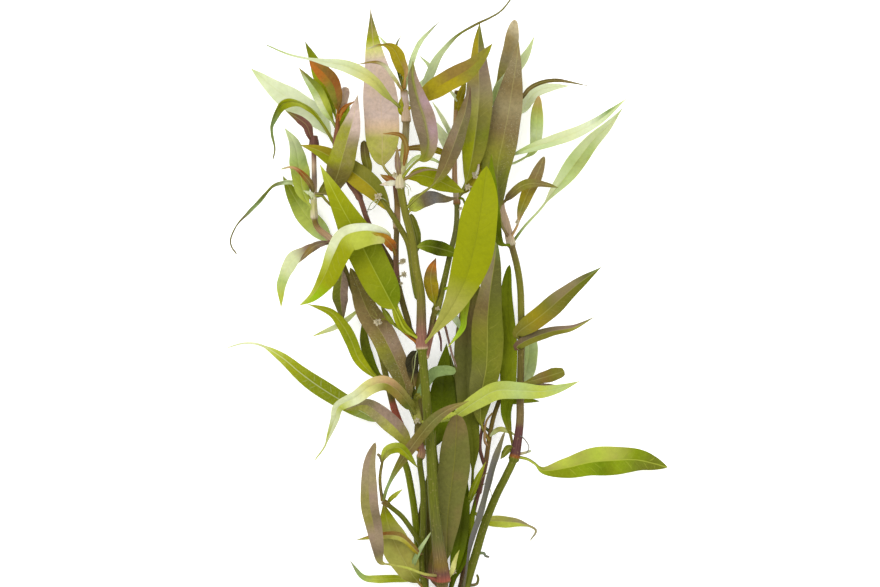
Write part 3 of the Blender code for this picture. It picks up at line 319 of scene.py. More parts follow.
# Lower middle
LOWER_MIDDLE = [
    Leaf("leaf_lower_dark_back", "dark", 9.4, [(-7.4, -46, 9.8), (-4.5, -40, 9), (-2, -30, 8.6),
        (-1.3, -20, 8.6), (-0.3, -6.5, 8)], "deep vivid deep vivid", "deep", "moss", strength=0,
        patches=0.1),
    # The bark toward its tip is a leaf's dull tone, darkened as painted shade under the leaves over it.
    Leaf("leaf_lower_dark_middle", "dark", 8.8, [(8.9, -55.8, 8.4), (9, -48, 9), (9, -42, 9.5),
        (7.5, -30, 10), (6.8, -18, 10), (7, -5, 9.6), (7.8, 4, 9.2), (10.4, 15, 9)],
        "moss moss moss sedge sedge bark moss", "deep", "deep", strength=0, ends=(1, 0.5)),
    Leaf("leaf_foot_olive_tall", "olive", 11.2, [(0.8, -87, 12.6), (-0.2, -80, 12.2), (-0.2, -75, 12.4),
        (0.2, -66, 13), (1.3, -57, 14), (2.3, -49, 15.5), (2.9, -41, 17.5), (3.3, -31.4, 20)],
        "moss sedge sedge sedge sedge sedge bark", "deep moss", "bark", vein="olive", strength=0.3,
        patches=0.4, ends=(0.9, 0.45)),
    Leaf("leaf_front_bright_right", "bright", 6.4, [(-8.1, -33.8, 14.2), (-3, -33.8, 15), (1, -33, 15.6),
        (4, -31, 16.4), (10, -26.8, 18.6), (17, -23, 21), (25, -23, 22.5), (33, -23.3, 22), (40, -22, 20),
        (46.3, -19.7, 17)], "fresh lime lime lime lime mint lime mint lime", "fresh lime", "mint",
        vein="pale", fold=(20, 16), wave=0.7, petiole=0.16),
    Leaf("leaf_foot_olive_arch", "olive", 4.4, [(-21.8, -59.8, 20.4), (-21.3, -57.5, 22),
        (-19, -52.5, 24.5), (-16, -47.5, 26), (-12, -42, 27.5), (-6, -34.5, 28.5), (0, -29.7, 28.5),
        (7.5, -26.5, 27.5)], "moss fern moss bark wood sedge bark olive", "moss", "brown", ends=(1.8, 1),
        fold=(24, 20), tail=0.01),
    # The lime over the arch in its left half is a painted highlight.
    Leaf("leaf_foot_bright_arch", "bright", 3.8, [(-23.8, -61.2, 20), (-23.6, -54, 21.5),
        (-22.6, -47.5, 27), (-20.8, -43.8, 31), (-17.2, -42.8, 32), (-14.5, -44.7, 32), (-10.4, -49.8, 31)],
        "brown bark brown bark wood khaki grass fresh grass moss", "lime", "grass",
        "brown bark brown bark wood lime lime grass grass moss", fold=(26, 26), petiole=0.46, tail=0.01),
    Leaf("leaf_foot_mauve", "mauve", 6.2, [(-4.4, -88.2, 17.4), (-8, -87.2, 19.5), (-14, -85, 22),
        (-20, -83.8, 23.6), (-23.4, -82.8, 24.6), (-24.4, -78, 25.2), (-25.8, -70, 26), (-27.3, -62, 26.6),
        (-27.5, -53, 27), (-26.9, -47, 27), (-25.2, -41, 26.5)],
        "bark khaki lime khaki slate mauve slate mauve taupe taupe bark", "moss", "taupe",
        "bark khaki lime khaki slate mauve olive olive taupe mauve bark", vein="taupe", patches=0.4,
        ends=(0.8, 0.6), fold=(20, 16), wave=0.6, petiole=0.33),
    Leaf("leaf_foot_yellow_olive", "yellow", 10.4, [(-9.6, -93, 9.6), (-12, -88, 12), (-15.5, -82, 13.5),
        (-18.5, -76, 14), (-20.7, -70, 14), (-22.5, -62.5, 13.5)],
        "rust moss khaki khaki khaki khaki fresh fresh", "moss", "brown", patches=0.4),
    Leaf("leaf_lone_right", "bright", 10.2, [(25.8, -46.4, 14.4), (28, -47, 14), (30.5, -48.5, 13),
        (34, -51, 11.5), (42, -50, 9.5), (50, -48.2, 8), (58, -47.5, 6.5), (66, -47.3, 4.5),
        (72, -48.5, 2.4), (77.3, -50, 0.4)], "moss lime grass grass grass vivid grass moss moss moss",
        "grass lime", "acid", "moss moss khaki lime khaki lime khaki grass moss moss", vein="lime",
        strength=0.5, ends=(1.25, 0.8), fold=(22, 12), wave=0.8, waves=3, petiole=0.14),
]

# Young leaves fused to the shoot that bears them
YOUNG = [
    Leaf("young_orange", "rust", 1.6, [(-38.5, 70, 16.2), (-36.5, 75.5, 18), (-32.5, 78.3, 19)],
        "amber amber rust", "amber", "rust", stem="shoot_upper_left"),
    Leaf("young_tan", "brown", 3.3, [(-38.3, 72.5, 16.4), (-37, 76, 16.5), (-35.5, 83.3, 16)],
        "tan blush rose rose", "brown", "tan", ends=(1, 0.3), stem="shoot_upper_left"),
    Leaf("young_green", "bright", 3, [(-38.8, 64.5, 15.2), (-36, 71.5, 17), (-34.3, 77.5, 18.5)],
        "moss grass grass", "lime", "moss", stem="shoot_upper_left"),
    Leaf("young_red_left", "rust", 3.2, [(-46.9, 62, 14.3), (-48.3, 67, 16), (-50, 70.5, 17),
        (-56.5, 75, 17)], "maroon maroon maroon moss", "rust", "maroon", fold=(30, 10), stem="stem_left"),
    Leaf("young_curl_left", "rust", 2, [(-46.8, 45.5, 12), (-48, 49.5, 15.5), (-52, 54, 16.5),
        (-55, 55.2, 16.5), (-58.3, 54.5, 16)], "moss bark brown rust tan sage", "rust", "rust", tail=0.2,
        stem="stem_left"),
    Leaf("foot_brown_strap", "brown", 2.8, [(-9.2, -80.4, 11), (-10.4, -79.6, 15.4), (-15, -75, 18.2),
        (-19, -73.6, 18.2), (-25, -74, 17), (-32, -75.3, 14)], "maroon brown brown rust fresh", "moss",
        "rust", "brown mustard khaki khaki fresh", stem="stem_inner_olive"),
    Leaf("foot_bright_strap", "bright", 2.8, [(-8.2, -90.5, 6.8), (-12, -89.6, 5.5), (-18, -89, 4),
        (-25, -89.2, 2.5), (-30, -88.2, 1.5), (-34.2, -82.7, 0.8)], "straw lime fresh lime fern ash",
        "lime", "acid", stem="stem_left"),
    Leaf("left_dark_strap", "dark", 3.6, [(-21.3, -19, 9.5), (-24.5, -17, 6.5), (-27.5, -12, 4.5),
        (-29.3, -4, 3.5), (-29.3, 3.5, 2.5)], "moss vivid moss vivid", "deep", "moss", strength=0,
        stem="stem_left"),
    Leaf("crown_narrow", "rust", 1.3, [(-15.2, 81, 33.4), (-18.5, 86, 38), (-22, 90.5, 41),
        (-26, 91.7, 41.5), (-31, 91, 41)], "rust straw pale brown brown", "rust", "brown",
        stem="stem_main"),
    Leaf("crown_pale_right", "pale", 1.8, [(-15.1, 80.5, 33.3), (-12.7, 91, 32.8), (-10, 98, 33),
        (-6, 102.8, 33), (-2.8, 106, 33)], "fern sage sage ash", "mint", "sage", stem="stem_main"),
    Leaf("crown_back_pale", "pale", 2, [(-15, 79.5, 33.2), (-15.3, 86, 32), (-16.8, 91.5, 31.4),
        (-19.5, 95.8, 30.6), (-24.3, 101.3, 29.5)], "sage sage sage", "mint", "sage", stem="stem_main"),
    Leaf("middle_dark_left", "dark", 5.2, [(-12, 27.4, 27.8), (-8.5, 27.6, 26.4), (-5, 27.3, 25.6),
        (1.5, 25.5, 24.5), (5.5, 23.5, 24)], "lime vivid deep vivid moss", "deep", "moss",
        stem="stem_main"),
    Leaf("right_pale_top", "pale", 4, [(20.3, 73, 12.1), (26, 75.5, 9), (28.5, 79, 8), (32, 82.2, 7),
        (37, 83.4, 5), (43, 83.9, 3.5)], "sage frost frost frost", "pale", "sage", stem="stem_right"),
    Leaf("right_brown_thin", "brown", 1.4, [(20.4, 74, 12), (26, 79.5, 13.8), (29, 83, 14.8),
        (34, 85.2, 15), (40, 85.5, 14.5), (49, 83.8, 12)], "rust bark wood bark wood", "brown", "rust",
        stem="stem_right"),
    Leaf("right_pale_back", "pale", 4.4, [(20.3, 73, 12.1), (20.9, 75.5, 7.4), (18, 80.5, 5.6),
        (20.5, 86.5, 5.5), (25, 91, 5), (28, 95.5, 4.6), (30.5, 101.3, 4)], "sage sage pale sage", "mint",
        "sage", stem="stem_right"),
    Leaf("middle_green_strap", "dark", 2.6, [(18, -27, 8.5), (21, -27, 8), (26, -26.3, 7.5),
        (32.3, -26.8, 6.5)], "moss vivid grass vivid", "deep", "moss", strength=0, stem="stem_lower_right"),
    Leaf("right_olive_long", "olive", 7.2, [(24.9, -4.8, 17.2), (24.1, -3.6, 18.8), (26, -1.6, 20),
        (30, 1.2, 19.6), (34, 4.3, 18.4), (40, 9.5, 16.4), (46, 14.5, 14.4), (54, 20.3, 12.5)],
        "olive olive mustard olive moss moss moss moss", "moss", "brown",
        "olive olive mustard olive taupe taupe sedge fern", patches=0.3, ends=(0.8, 1), petiole=0.03,
        stem="stem_right"),
    Leaf("right_mauve_long", "mauve", 3.8, [(24.9, -8.6, 17.2), (24.2, -7.8, 18.6), (26.2, -6.2, 19.4),
        (30, -4.4, 18.6), (36, -2.4, 16), (44, -0.9, 12.5), (51.3, 2.6, 9)],
        "moss olive olive olive khaki olive", "olive", "olive", "maroon slate slate mauve mauve moss",
        ends=(0.5, 1), petiole=0.03, stem="stem_right"),
    Leaf("right_pale_back_leaf", "pale", 6.6, [(20.5, -20, 7.5), (24, -20.5, 4.5), (27, -18, 3),
        (28.5, -10, 2.5), (28, -3, 2.5), (25.5, 5, 2)], "pale mint pale", "pale", "fern", patches=0.4,
        stem="stem_lower_right"),
    Leaf("right_short_brown", "brown", 4.6, [(26.2, -20.8, 17), (28, -20, 17.2), (33, -18.6, 16.2),
        (41, -16.2, 13)], "olive olive brown olive olive", "moss", "taupe", patches=0.3, ends=(1, 0.35),
        stem="stem_right"),
    Leaf("foot_curled_green", "bright", 4.2, [(9, -66, 5.2), (14, -68.5, 4), (20, -69, 3.5), (26, -69.7, 3),
        (31, -72, 2), (29, -75.8, 1)], "grass fresh lime lime taupe ash", "lime", "moss",
        "grass khaki khaki taupe mauve ash", fold=(26, 10), tail=0.25, stem="stem_lower_right"),
    Leaf("inner_grey_arch", "olive", 3.8, [(-11.4, -27, 13.4), (-8.6, -22, 17), (-5, -17, 18.5),
        (-1, -15.9, 18.5), (3, -16.3, 18)], "fern fern fern fern", "moss", "moss", strength=0,
        ends=(0.8, 0.3), stem="stem_inner_olive"),
    Leaf("middle_brown_back", "brown", 5, [(-4, 5.5, 21.2), (-5.4, 12, 23.4), (-5.8, 18, 23.6),
        (-4, 23.5, 21.8)], "moss fresh mustard mustard brown amber maroon", "moss", "rust",
        stem="branch_middle"),
    Leaf("middle_vivid_hanging", "yellow", 2.6, [(-2, 12, 20.7), (3, 13.5, 24), (6.3, 10, 25), (5.7, 3, 25),
        (5, -1.5, 24.5), (0, -8, 24)], "grass acid grass acid lime", "fresh", "lime", strength=0,
        stem="branch_middle"),
    Leaf("foot_grey_strip", "taupe", 3, [(5.2, -94, 7.8), (6.6, -87, 13), (7.5, -82, 14.5), (9, -75, 16),
        (12, -65, 17), (14.7, -56, 17.5), (17, -47, 17.5), (20.2, -37.3, 17.5)],
        "slate ash ash ash ash taupe", "moss", "moss", ends=(1, 0.35), fold=(40, 40), roll=30,
        stem="stem_right"),
]

# Slivers, torn leaves and thin young leaves that are too small for solids of their own
SLIVERS = [
    Leaf("sliver_left_low", "pale", 2, [(-30.6, 6, 9.5), (-38, 0, 8.5), (-47.3, -4, 7.5)], "lime pale lime",
        "lime", "mint"),
    Leaf("sliver_left_olive", "olive", 2.6, [(-46.8, 44.5, 12), (-44, 46.5, 11), (-41, 53, 11)],
        "moss olive olive", "moss", "moss"),
    Leaf("wedge_brown_left", "brown", 2.4, [(-42.6, 28, 12.4), (-46, 27.9, 15), (-49, 25.4, 15.2),
        (-51.9, 21.9, 14)], "maroon mauve brown mauve", "moss", "brown"),
    Leaf("bract_left_node", "pale", 1.5, [(-46.8, 43, 12.4), (-47.5, 45.6, 13.4), (-50.4, 47, 13.6)],
        "mint pale sage", "mint", "pale"),
    Leaf("curl_orange", "rust", 1.8, [(-15.4, 55, 31.5), (-14.6, 59, 34), (-14.3, 62.5, 34.8),
        (-16, 66, 34.8), (-18.5, 66.8, 34.5), (-22.5, 66.8, 33.6)], "rust brown rust", "rust", "rust"),
    Leaf("young_red_middle", "rust", 2, [(-16.5, 51, 31), (-17.4, 56, 33), (-17.6, 62.3, 33)],
        "brown mauve brown", "rust", "maroon"),
    # Its dark bark and wood top is a painted shadow of the leaf above it.
    Leaf("stub_dark_left", "dark", 3.3, [(-29, 46, 14.4), (-28, 54.5, 16.6), (-28.8, 59, 17.5),
        (-29.2, 64.6, 18.5)], "pale pale straw olive olive bark wood", "moss", "brown", ends=(0.5, 0.25)),
    Leaf("olive_bit_main", "olive", 2.2, [(-14.6, 73, 32), (-16.1, 74.6, 33.6), (-16.3, 77, 34),
        (-16, 79.6, 34.2)], "mustard fresh mustard", "moss", "olive"),
    Leaf("crown_pale_short", "pale", 2.2, [(-14.6, 80.5, 31), (-9, 84, 28.5), (-5.9, 87.5, 27.5),
        (-6.4, 90.6, 27.6), (-9.6, 94, 28)], "sage sage sage sage", "mint", "sage"),
    Leaf("crown_dark_curl", "dark", 1.3, [(-15.2, 81.5, 33.3), (-17.4, 91, 31.5), (-17.8, 97.5, 31),
        (-16.2, 101, 31)], "moss deep deep deep", "deep", "moss"),
    Leaf("strand_reddish", "rust", 0.8, [(-16, 50.5, 30.5), (-14.5, 51.2, 31.5), (-11, 53.3, 32.8),
        (-7, 54.3, 33), (-3.5, 54, 32.5)], "brown mauve", "rust", "maroon"),
    Leaf("strip_pale_middle", "pale", 1.6, [(2.6, 63, 20), (-0.5, 70, 26), (-5.2, 78, 27)],
        "sage pale pale", "mint", "mint"),
    Leaf("strip_pale_wide", "pale", 4, [(2.5, 60, 20), (-0.5, 64, 25), (-4, 71, 26)], "sage pale pale",
        "mint", "mint"),
    Leaf("strip_pale_top", "pale", 1.6, [(3, 74, 20.5), (4.8, 77, 21.5), (0, 83, 23)], "sage pale pale",
        "mint", "mint"),
    Leaf("strip_pale_low", "pale", 1.4, [(-15.4, 54, 31), (-11, 58.4, 30.4), (-6, 58.2, 29.6),
        (-0.4, 55.4, 29)], "sage mint sage", "mint", "pale"),
    Leaf("young_mustard", "yellow", 3, [(2.9, 73, 20.5), (4, 78, 22), (6.5, 86, 21.5)],
        "mustard mustard mustard", "olive", "mustard"),
    Leaf("leaf_behind_tall", "yellow", 4.8, [(4, 44.6, 19.4), (7.6, 49, 18.6), (10.4, 55, 18.8),
        (11.6, 64, 19.2)], "olive mustard mustard mustard", "moss", "olive", vein="moss"),
    Leaf("young_olive_bar", "olive", 2.5, [(2.5, 59.6, 20), (-1, 60.2, 24), (-5, 61.4, 26), (-11, 62, 26),
        (-18.5, 60.8, 25)], "olive mustard brown rust", "moss", "brown"),
    Leaf("strip_dark_inner", "dark", 2.8, [(-10.2, 24, 25), (-10.4, 30, 24), (-12.8, 39, 23)],
        "moss moss moss olive", "deep", "moss", ends=(1, 0.5)),
    Leaf("triangle_lime", "yellow", 2.8, [(-5.8, -34, 22.5), (-2, -31.8, 22.5), (3.3, -31, 22)],
        "fresh lime lime", "lime", "fresh"),
    Leaf("sliver_left_shoot", "bright", 1.5, [(-21, -62.6, 18), (-19.5, -60.5, 20), (-15.8, -57.5, 20.5)],
        "grass fresh lime", "lime", "grass"),
    Leaf("sliver_light_foot", "bright", 1.6, [(-9, -89, 10.5), (-11.9, -84.5, 13), (-9.5, -78.5, 15.5),
        (-5.3, -72, 16.5)], "moss fern sage", "lime", "sage"),
    Leaf("sliver_lime_right", "yellow", 2.4, [(6.5, -65, 7.6), (8.6, -59, 10), (10.4, -54.5, 12),
        (13.4, -48, 13.5)], "moss grass fresh", "lime", "grass"),
    Leaf("sliver_olive_right", "olive", 1.8, [(14.8, -39, 8.3), (17.5, -36.8, 11), (20, -36.8, 12),
        (24.2, -38.8, 12.5)], "sage khaki sage", "moss", "khaki"),
    Leaf("sliver_grey_middle", "olive", 2.8, [(-4.8, 3, 21.3), (-1, 5, 22), (2.6, 2.4, 22),
        (5, -2.6, 21.6)], "fern fern sage fern", "moss", "moss", strength=0),
    Leaf("sliver_node_left", "olive", 2.2, [(-11.8, -27, 13.5), (-10.4, -25, 15.5), (-6.5, -23, 16.5)],
        "moss olive olive", "moss", "moss"),
    Leaf("young_foot_light", "bright", 1.7, [(-0.6, -90, 14.6), (1.6, -86, 15.5), (2.8, -82, 16),
        (4.2, -78.8, 16)], "khaki straw khaki", "khaki", "khaki"),
    Leaf("young_node_right", "olive", 2.6, [(23.6, -44, 14.6), (21.4, -43.2, 16.4), (18.6, -47, 16.8)],
        "moss moss moss", "deep", "moss"),
    Leaf("taupe_bar_right", "taupe", 2, [(25.4, -21, 16.6), (30, -21.4, 15.6), (39.3, -21.3, 13)],
        "mauve taupe mauve taupe", "moss", "mauve"),
    Leaf("bud_main_left", "pale", 1.9, [(-16.4, 49, 30), (-19, 49.6, 29), (-23.6, 49, 28)],
        "rose frost rose", "rose", "rose"),
    Leaf("bit_red_left", "rust", 2.4, [(-17.6, 50, 29.4), (-20.5, 51, 27.6), (-23.5, 52.6, 26.8)],
        "maroon rust brown", "rust", "maroon"),
    Leaf("dead_leaf_middle", "brown", 4.6, [(-9.2, -8.6, 23.4), (-12, -11.5, 19), (-12.2, -16, 17.6),
        (-11.4, -22, 16.4)], "dead dead dead brown", "dead", "dead"),
    Leaf("leaf_inner_foot", "brown", 6.4, [(-5.8, -92, 9.6), (-7.2, -82, 6.2), (-7.4, -70, 6),
        (-7.4, -61, 6.2), (-7.2, -53, 7)], "bark wood moss wood moss moss", "moss", "bark"),
    Leaf("leaf_inner_dark", "dark", 5.6, [(0.5, -93, 9.6), (3, -82, 8.8), (4.6, -72, 8.8), (5.6, -60, 9),
        (6, -47, 9.4)], "deep vivid deep vivid deep", "deep", "moss", strength=0),
    Leaf("leaf_inner_green", "dark", 3.6, [(3, -92, 7.6), (5.4, -82, 7.4), (7.6, -72, 7), (10, -61, 6.6)],
        "vivid vivid grass vivid", "deep", "deep", strength=0),
    Leaf("strip_behind_dark", "dark", 2.8, [(5.2, -36, 9.2), (3.4, -27, 8.4), (2.4, -19, 8.4),
        (1, -10, 8.8)], "deep moss deep", "deep", "deep"),
    Leaf("strip_foot_main", "brown", 3.2, [(-3.4, -92.6, 10.6), (-4.9, -88, 9.6), (-5, -82, 9.2),
        (-4.6, -77, 9.4)], "brown maroon wood brown", "wood", "maroon"),
    Leaf("strip_pale_behind", "pale", 3.6, [(20.3, 73, 12.1), (17.4, 77, 11), (17.6, 82, 11),
        (20.5, 88.5, 11)], "pale mint pale", "mint", "sage"),
    Leaf("fold_base_orange", "rust", 3.6, [(-18.6, 25.6, 22), (-20, 28.5, 27.5), (-23, 31, 31.4),
        (-26.5, 32.2, 33.6)], "rust amber mustard", "rust", "rust"),
    Leaf("strip_base_bright", "bright", 3.2, [(-12, -5, 27), (-15.5, -0.5, 27.4), (-18, 5, 27.4),
        (-19.6, 12, 27)], "grass fresh lime", "grass", "grass"),
    Leaf("young_green_left", "bright", 1.9, [(-13.4, -4, 24.5), (-18, -0.5, 24), (-20.6, 2.6, 24),
        (-23.4, 7, 23.6)], "moss grass moss", "moss", "moss", petiole=0.45),
    Leaf("strip_behind_main", "olive", 4.4, [(-2.5, -84, 15), (-4, -70, 12), (-4, -57, 11.6),
        (-4.6, -46, 11.8), (-4.2, -37, 12)], "moss sedge bark moss moss", "moss", "bark"),
    Leaf("strip_behind_inner", "olive", 3.8, [(-9.6, -50, 11.6), (-9, -40, 10.4), (-9.4, -30, 10.4),
        (-9.8, -20, 10.8), (-9, -12, 11)], "moss olive bark olive moss", "moss", "bark"),
]

# Flower stalks, dry threads, torn petioles and roots, from the top to the foot on the whole
STRANDS = [
    Strand("moss olive olive", 1.3, [(-10, 8, 25.6), (-11.6, 16, 25.4), (-13.4, 27.5, 24), (-16, 33, 23.4),
        (-21, 41, 22.2), (-24.4, 45.6, 21.2)]),
    Strand("moss moss bark", 1.1, [(-10.9, -28.6, 13.3), (-11.8, -24.5, 13.8), (-12.8, -20, 14.2),
        (-13.8, -14.5, 14.6)]),
    Strand("lime brown", 0.6, [(-46.6, 45.5, 12.4), (-44, 45.2, 13.4), (-42.5, 43.6, 13.4),
        (-40.6, 41.6, 12)]),
    Strand("amber olive", 0.55, [(-10.2, -6.5, 25.2), (-13.5, -4, 24), (-17, -1, 22), (-20, 1.4, 20.5),
        (-23.2, 2.2, 20)]),
    Strand("wood straw", 0.35, [(-17.6, 21, 19.4), (-16.8, 21.6, 20.8), (-15.6, 22.4, 21.6)]),
    Strand("wood straw", 0.35, [(-17.6, 16.6, 19.6), (-16.6, 17, 20.8), (-15.2, 17.6, 21.6)]),
    Strand("maroon maroon", 2.1, [(-46.9, 61.4, 14.3), (-46.7, 63.5, 14.6), (-46.9, 66.4, 14.8)]),
    Strand("sage khaki", 0.2, [(-9.4, -7, 23.6), (-11, -10.5, 23), (-11.6, -15, 22.4),
        (-12.8, -20.5, 21.6)]),
    Strand("khaki bark", 0.16, [(-24.8, 2, 20.6), (-26.8, 3.4, 21), (-28.4, 2.6, 20.4)]),
    Strand("khaki bark", 0.16, [(-24.6, 3, 20.6), (-25.8, 5, 21), (-27.4, 5.6, 20.4)]),
    Strand("sage ash", 0.2, [(-24.4, 43.6, 23.4), (-26.6, 42.6, 23.6), (-28, 39.2, 23),
        (-27.4, 37.6, 22.4)]),
    Strand("sage ash", 0.18, [(-24, 43.4, 23), (-26.2, 40.6, 23), (-28.2, 40.4, 22.4)]),
    Strand("sage bark", 0.16, [(-22.8, 44.4, 23), (-21.6, 43.6, 23.4), (-20.4, 42.6, 22.8)]),
    Strand("sage khaki", 0.14, [(-15.4, 49.6, 31), (-13.4, 48.6, 31.2), (-12.6, 46.4, 30.4)]),
    Strand("sage khaki", 0.14, [(-15.4, 49.2, 31), (-13.8, 47.6, 31.2), (-13.6, 45, 30.6)]),
    Strand("frost rose", 0.55, [(9.6, 52, 22.4), (10.6, 54, 22.8), (11, 56.3, 22.6)]),
    Strand("grass moss", 0.5, [(3.6, 44.4, 20), (5.4, 44, 20.8), (6.4, 41.4, 20.8)]),
    Strand("maroon mauve", 0.5, [(-4.9, 1.5, 21.9), (-1.4, 0.5, 22.6), (0.3, -5, 22), (1.7, -10.5, 21),
        (3.3, -15, 19.6)]),
    Strand("maroon plum", 0.5, [(-5, 0, 21.4), (-3.6, -1.2, 22), (-2.4, -5, 21.4), (-2.2, -9.4, 20)]),
    Strand("sage slate", 0.2, [(-4.4, 3.4, 21.8), (-1, 3.6, 22.6), (1.2, 4.2, 23), (4.2, 6, 23.6)]),
    Strand("tan brown", 0.5, [(14, -42.5, 8), (13, -40, 11), (13.6, -34, 12.6), (16, -30.5, 12.6)]),
    Strand("maroon plum", 0.7, [(13, -49.5, 7), (11.4, -43, 9), (12.2, -36, 10.6), (13.6, -29, 11.6)]),
    Strand("brown straw", 0.16, [(11.2, -57, 6.6), (13.6, -55.6, 8.4), (15, -57.8, 8.2),
        (15.6, -60.5, 6.6)]),
    Strand("brown straw", 0.16, [(11.4, -56.4, 6.8), (12.2, -53.4, 8.8), (14.4, -51.5, 9), (15, -49, 8)]),
    Strand("sage straw", 0.16, [(10.6, -57.8, 6.4), (9.2, -61, 7.6), (7.4, -61.8, 10)]),
    Strand("ash slate", 0.22, [(24.7, -38.6, 16), (26.6, -39.6, 17), (28.5, -42.6, 16.6),
        (27.6, -45.2, 15.6)]),
    Strand("tan sage", 0.6, [(23.6, -45.4, 14.4), (27, -44.8, 14.4), (29.4, -44, 14.2)]),
    Strand("fern ash", 0.6, [(10, -80.2, 10), (12.6, -80, 9.4), (13.4, -81, 9), (14.8, -81.4, 8.6)]),
    Strand("slate moss", 0.6, [(7.8, -91.4, 8.8), (10.2, -90.8, 8.6), (10.8, -89, 8.4), (10.3, -87.4, 8)]),
    Strand("brick maroon", 0.7, [(-3.4, -89.5, 15), (-6, -88.6, 17.6), (-9.5, -87.2, 18)]),
    Strand("bark taupe", 0.7, [(-22.7, -48, 26.4), (-23.5, -46, 27), (-24.6, -45, 26.8)]),
]

# Dried flower heads: middle, reach, number of bracts
FLOWER_HEADS = [
    ((-24.4, 1, 21.2), 1.5, 26), ((24.4, 36, 19), 1, 16), ((-24.2, 45, 23.4), 1.5, 20),
    ((-15.6, 22.4, 21.8), 1.3, 18), ((-15.2, 17.6, 21.8), 1.3, 18), ((-16.2, 14.6, 20.8), 0.9, 10),
    ((-18.2, 52.4, 30.4), 1.5, 16), ((-16.2, 48.4, 31.2), 1, 10), ((-18.6, 36.4, 19.8), 1.2, 12),
    ((9.6, 52.4, 22.2), 1.5, 18), ((7.2, 48.2, 21.6), 1.3, 16), ((4.6, 40.8, 20.8), 0.9, 10),
    ((-3.6, 5.8, 22.6), 1.1, 12), ((-10.6, -33.6, 14.6), 1.2, 12), ((2.2, -86.4, 14.4), 1.2, 14),
]

# Grid of a leaf: rings from foot to tip, and steps from the midrib to the margin
LEAF_RINGS = 84
YOUNG_RINGS = 44
SLIVER_RINGS = 30
HALF_STEPS = 10
SLIVER_STEPS = 5
STEP_POWER = 1.5          # over 1: the steps are closer together at the midrib
# Grid of a stem, a strand and a dried bract
STEM_SIDES = 18
STEM_RING_STEP = 0.5      # millimetres between two rings
STRAND_RINGS = 26
STRAND_SIDES = 8
BRACT_SIDES = 6           # its rings too
# Shape of a stem
SKIRT_REACH = 4.5         # a node tapers away above its rim over this many foot radii
RIM_DROP = 0.5            # millimetres over which a node falls away below its rim
SINK = 0.45               # a foot starts this share of the radius out from the stem's middle line
END_SHRINK = np.array((0.02, 0.5, 0.86, 0.98))    # radius of the rings that close an end
END_SHIFT = np.array((0, 0, 0, 0.12))             # how far they stand out, in millimetres
FLUTES = 4                # shallow grooves round it
FLUTE_DEPTH = 0.035       # as a share of the radius
FLUTE_TURN = 30           # millimetres over which the flutes turn by one radian
# Shape of a strand and of a dried bract, as shares of its radius or its length
STRAND_TAPER = 0.35
STRAND_ROUNDING = 20      # higher: the ends are blunter
STRAND_TIP = 0.01         # least share of the radius at an end, squared
BRACT_BEND = 0.25
BRACT_WIDTH = 0.26
BRACT_THICKNESS = 0.45    # as a share of its width
BRACT_LENGTHS = (0.75, 1.2)    # least and greatest, as shares of the head's reach
BRACT_ARC = (0.12, 0.86)  # its width follows a half wave from this share over that share
BRACT_POWER = 0.8         # under 1: the bract is fuller
BRACT_UP = (0.3, 0.2, 1.0)    # its side is square to this direction
# Shape of a leaf
TAIL_WIDTH = 0.6          # half width of a tail where it begins
TAIL_POWER = 0.25         # lower: it narrows later
STALK_TAPER = 0.85        # how much narrower than the petiole a stalk is where it ends
STALK_POWER = 0.6         # lower: it narrows sooner
STALK_DEPTH = 0.8         # its thickness as a share of its width
STALK_FULL = 0.5          # share of the petiole up to which a stalk has its full thickness
STALK_FADE = (0.6, 0.02)  # it thins over this share of the petiole and that share of the leaf
UNEVEN = 0.035            # how much a half's width goes up and down along it
UNEVEN_WAVES = 3.1        # how many times it does so
SWAY_WAVES = 1.2
SMALL_WAVES = 2.3         # small waves of the margin to each large one
SMALL_WAVE = 0.35         # their height beside that of the large ones
FOOT_REACH = 0.14         # share of the length over which the foot of a blade is folded more
BLADE_FOOT = 0.7          # share of the petiole at which a blade begins to open
BLADE_START = 0.12        # share of the length over which a blade opens from its petiole
STEEPER_FOOT = 0.7        # how much more the blade is folded near its foot
SIDE_VEINS = 15           # on a short leaf
LEAST_SPACING = 1.4       # least distance of two side veins in millimetres
VEIN_LEAN = 0.8           # how far a side vein runs forward for each step outward
VEIN_BOW = 0.05           # and how much more it does towards the margin
RIB_WIDTH = 0.42          # half widths of the midrib and of a stripe on it, in millimetres
STRIPE_WIDTH = 0.55
RIB_TIP = 0.25            # share of the rib's height that is left at the tip
RIB_SHARES = (-0.35, 1)   # how far the rib stands out above and below, as shares of its height
TURNED_RIB_SHARES = (0.7, -0.2)    # the same on a leaf whose underside shows
STEEPEST = 6              # greatest rise of a blade for each step outward
LEAST_STEP = 1e-4         # and the least step that it is measured over, in millimetres
MOST_THICK = 1.7          # greatest thickness for each half width
MARGIN_THIN = 0.93        # over 0: the margin is thinner than the middle
HARD_EDGE = 70            # degrees between two faces from which their edge is drawn hard
# The tie round the foot
TIE_PLACE = (-0.9, -103.0, 7.7)
TIE_INNER = (7.6, 6.5)    # half width and half height of its opening
TIE_WALL = 1.2
TIE_WIDTH = 6.0
TIE_EDGES = (0.45, 0.55)  # under 1: flatter faces and tighter edges
TIE_WAIST = 0.12          # how much it is drawn in at the middle of its width
TIE_LUMPS = 7             # slight swellings round it
TIE_LUMP = 0.05
TIE_WAVES = 3             # times that its path waves round
TIE_WAVE = 0.12
TIE_RINGS = 96
TIE_SIDES = 28
# The surface coordinates are millimetres over this length
SURFACE_MM = 100


def unit(rows):
    """Each row scaled to length one."""
    return rows / np.linalg.norm(rows, axis=-1, keepdims=True)


def turns(count):
    """Angles of that many points evenly round a circle."""
    return np.linspace(0, 2 * np.pi, count, endpoint=False)


def swing(waves, phase=0.0):
    """The sine of a number of full waves, begun at a share of a wave."""
    return np.sin(2 * np.pi * (waves + phase))


def bell(distance, width):
    """One in the middle and next to nothing beyond twice the width."""
    return np.exp(-(distance / width) ** 2)


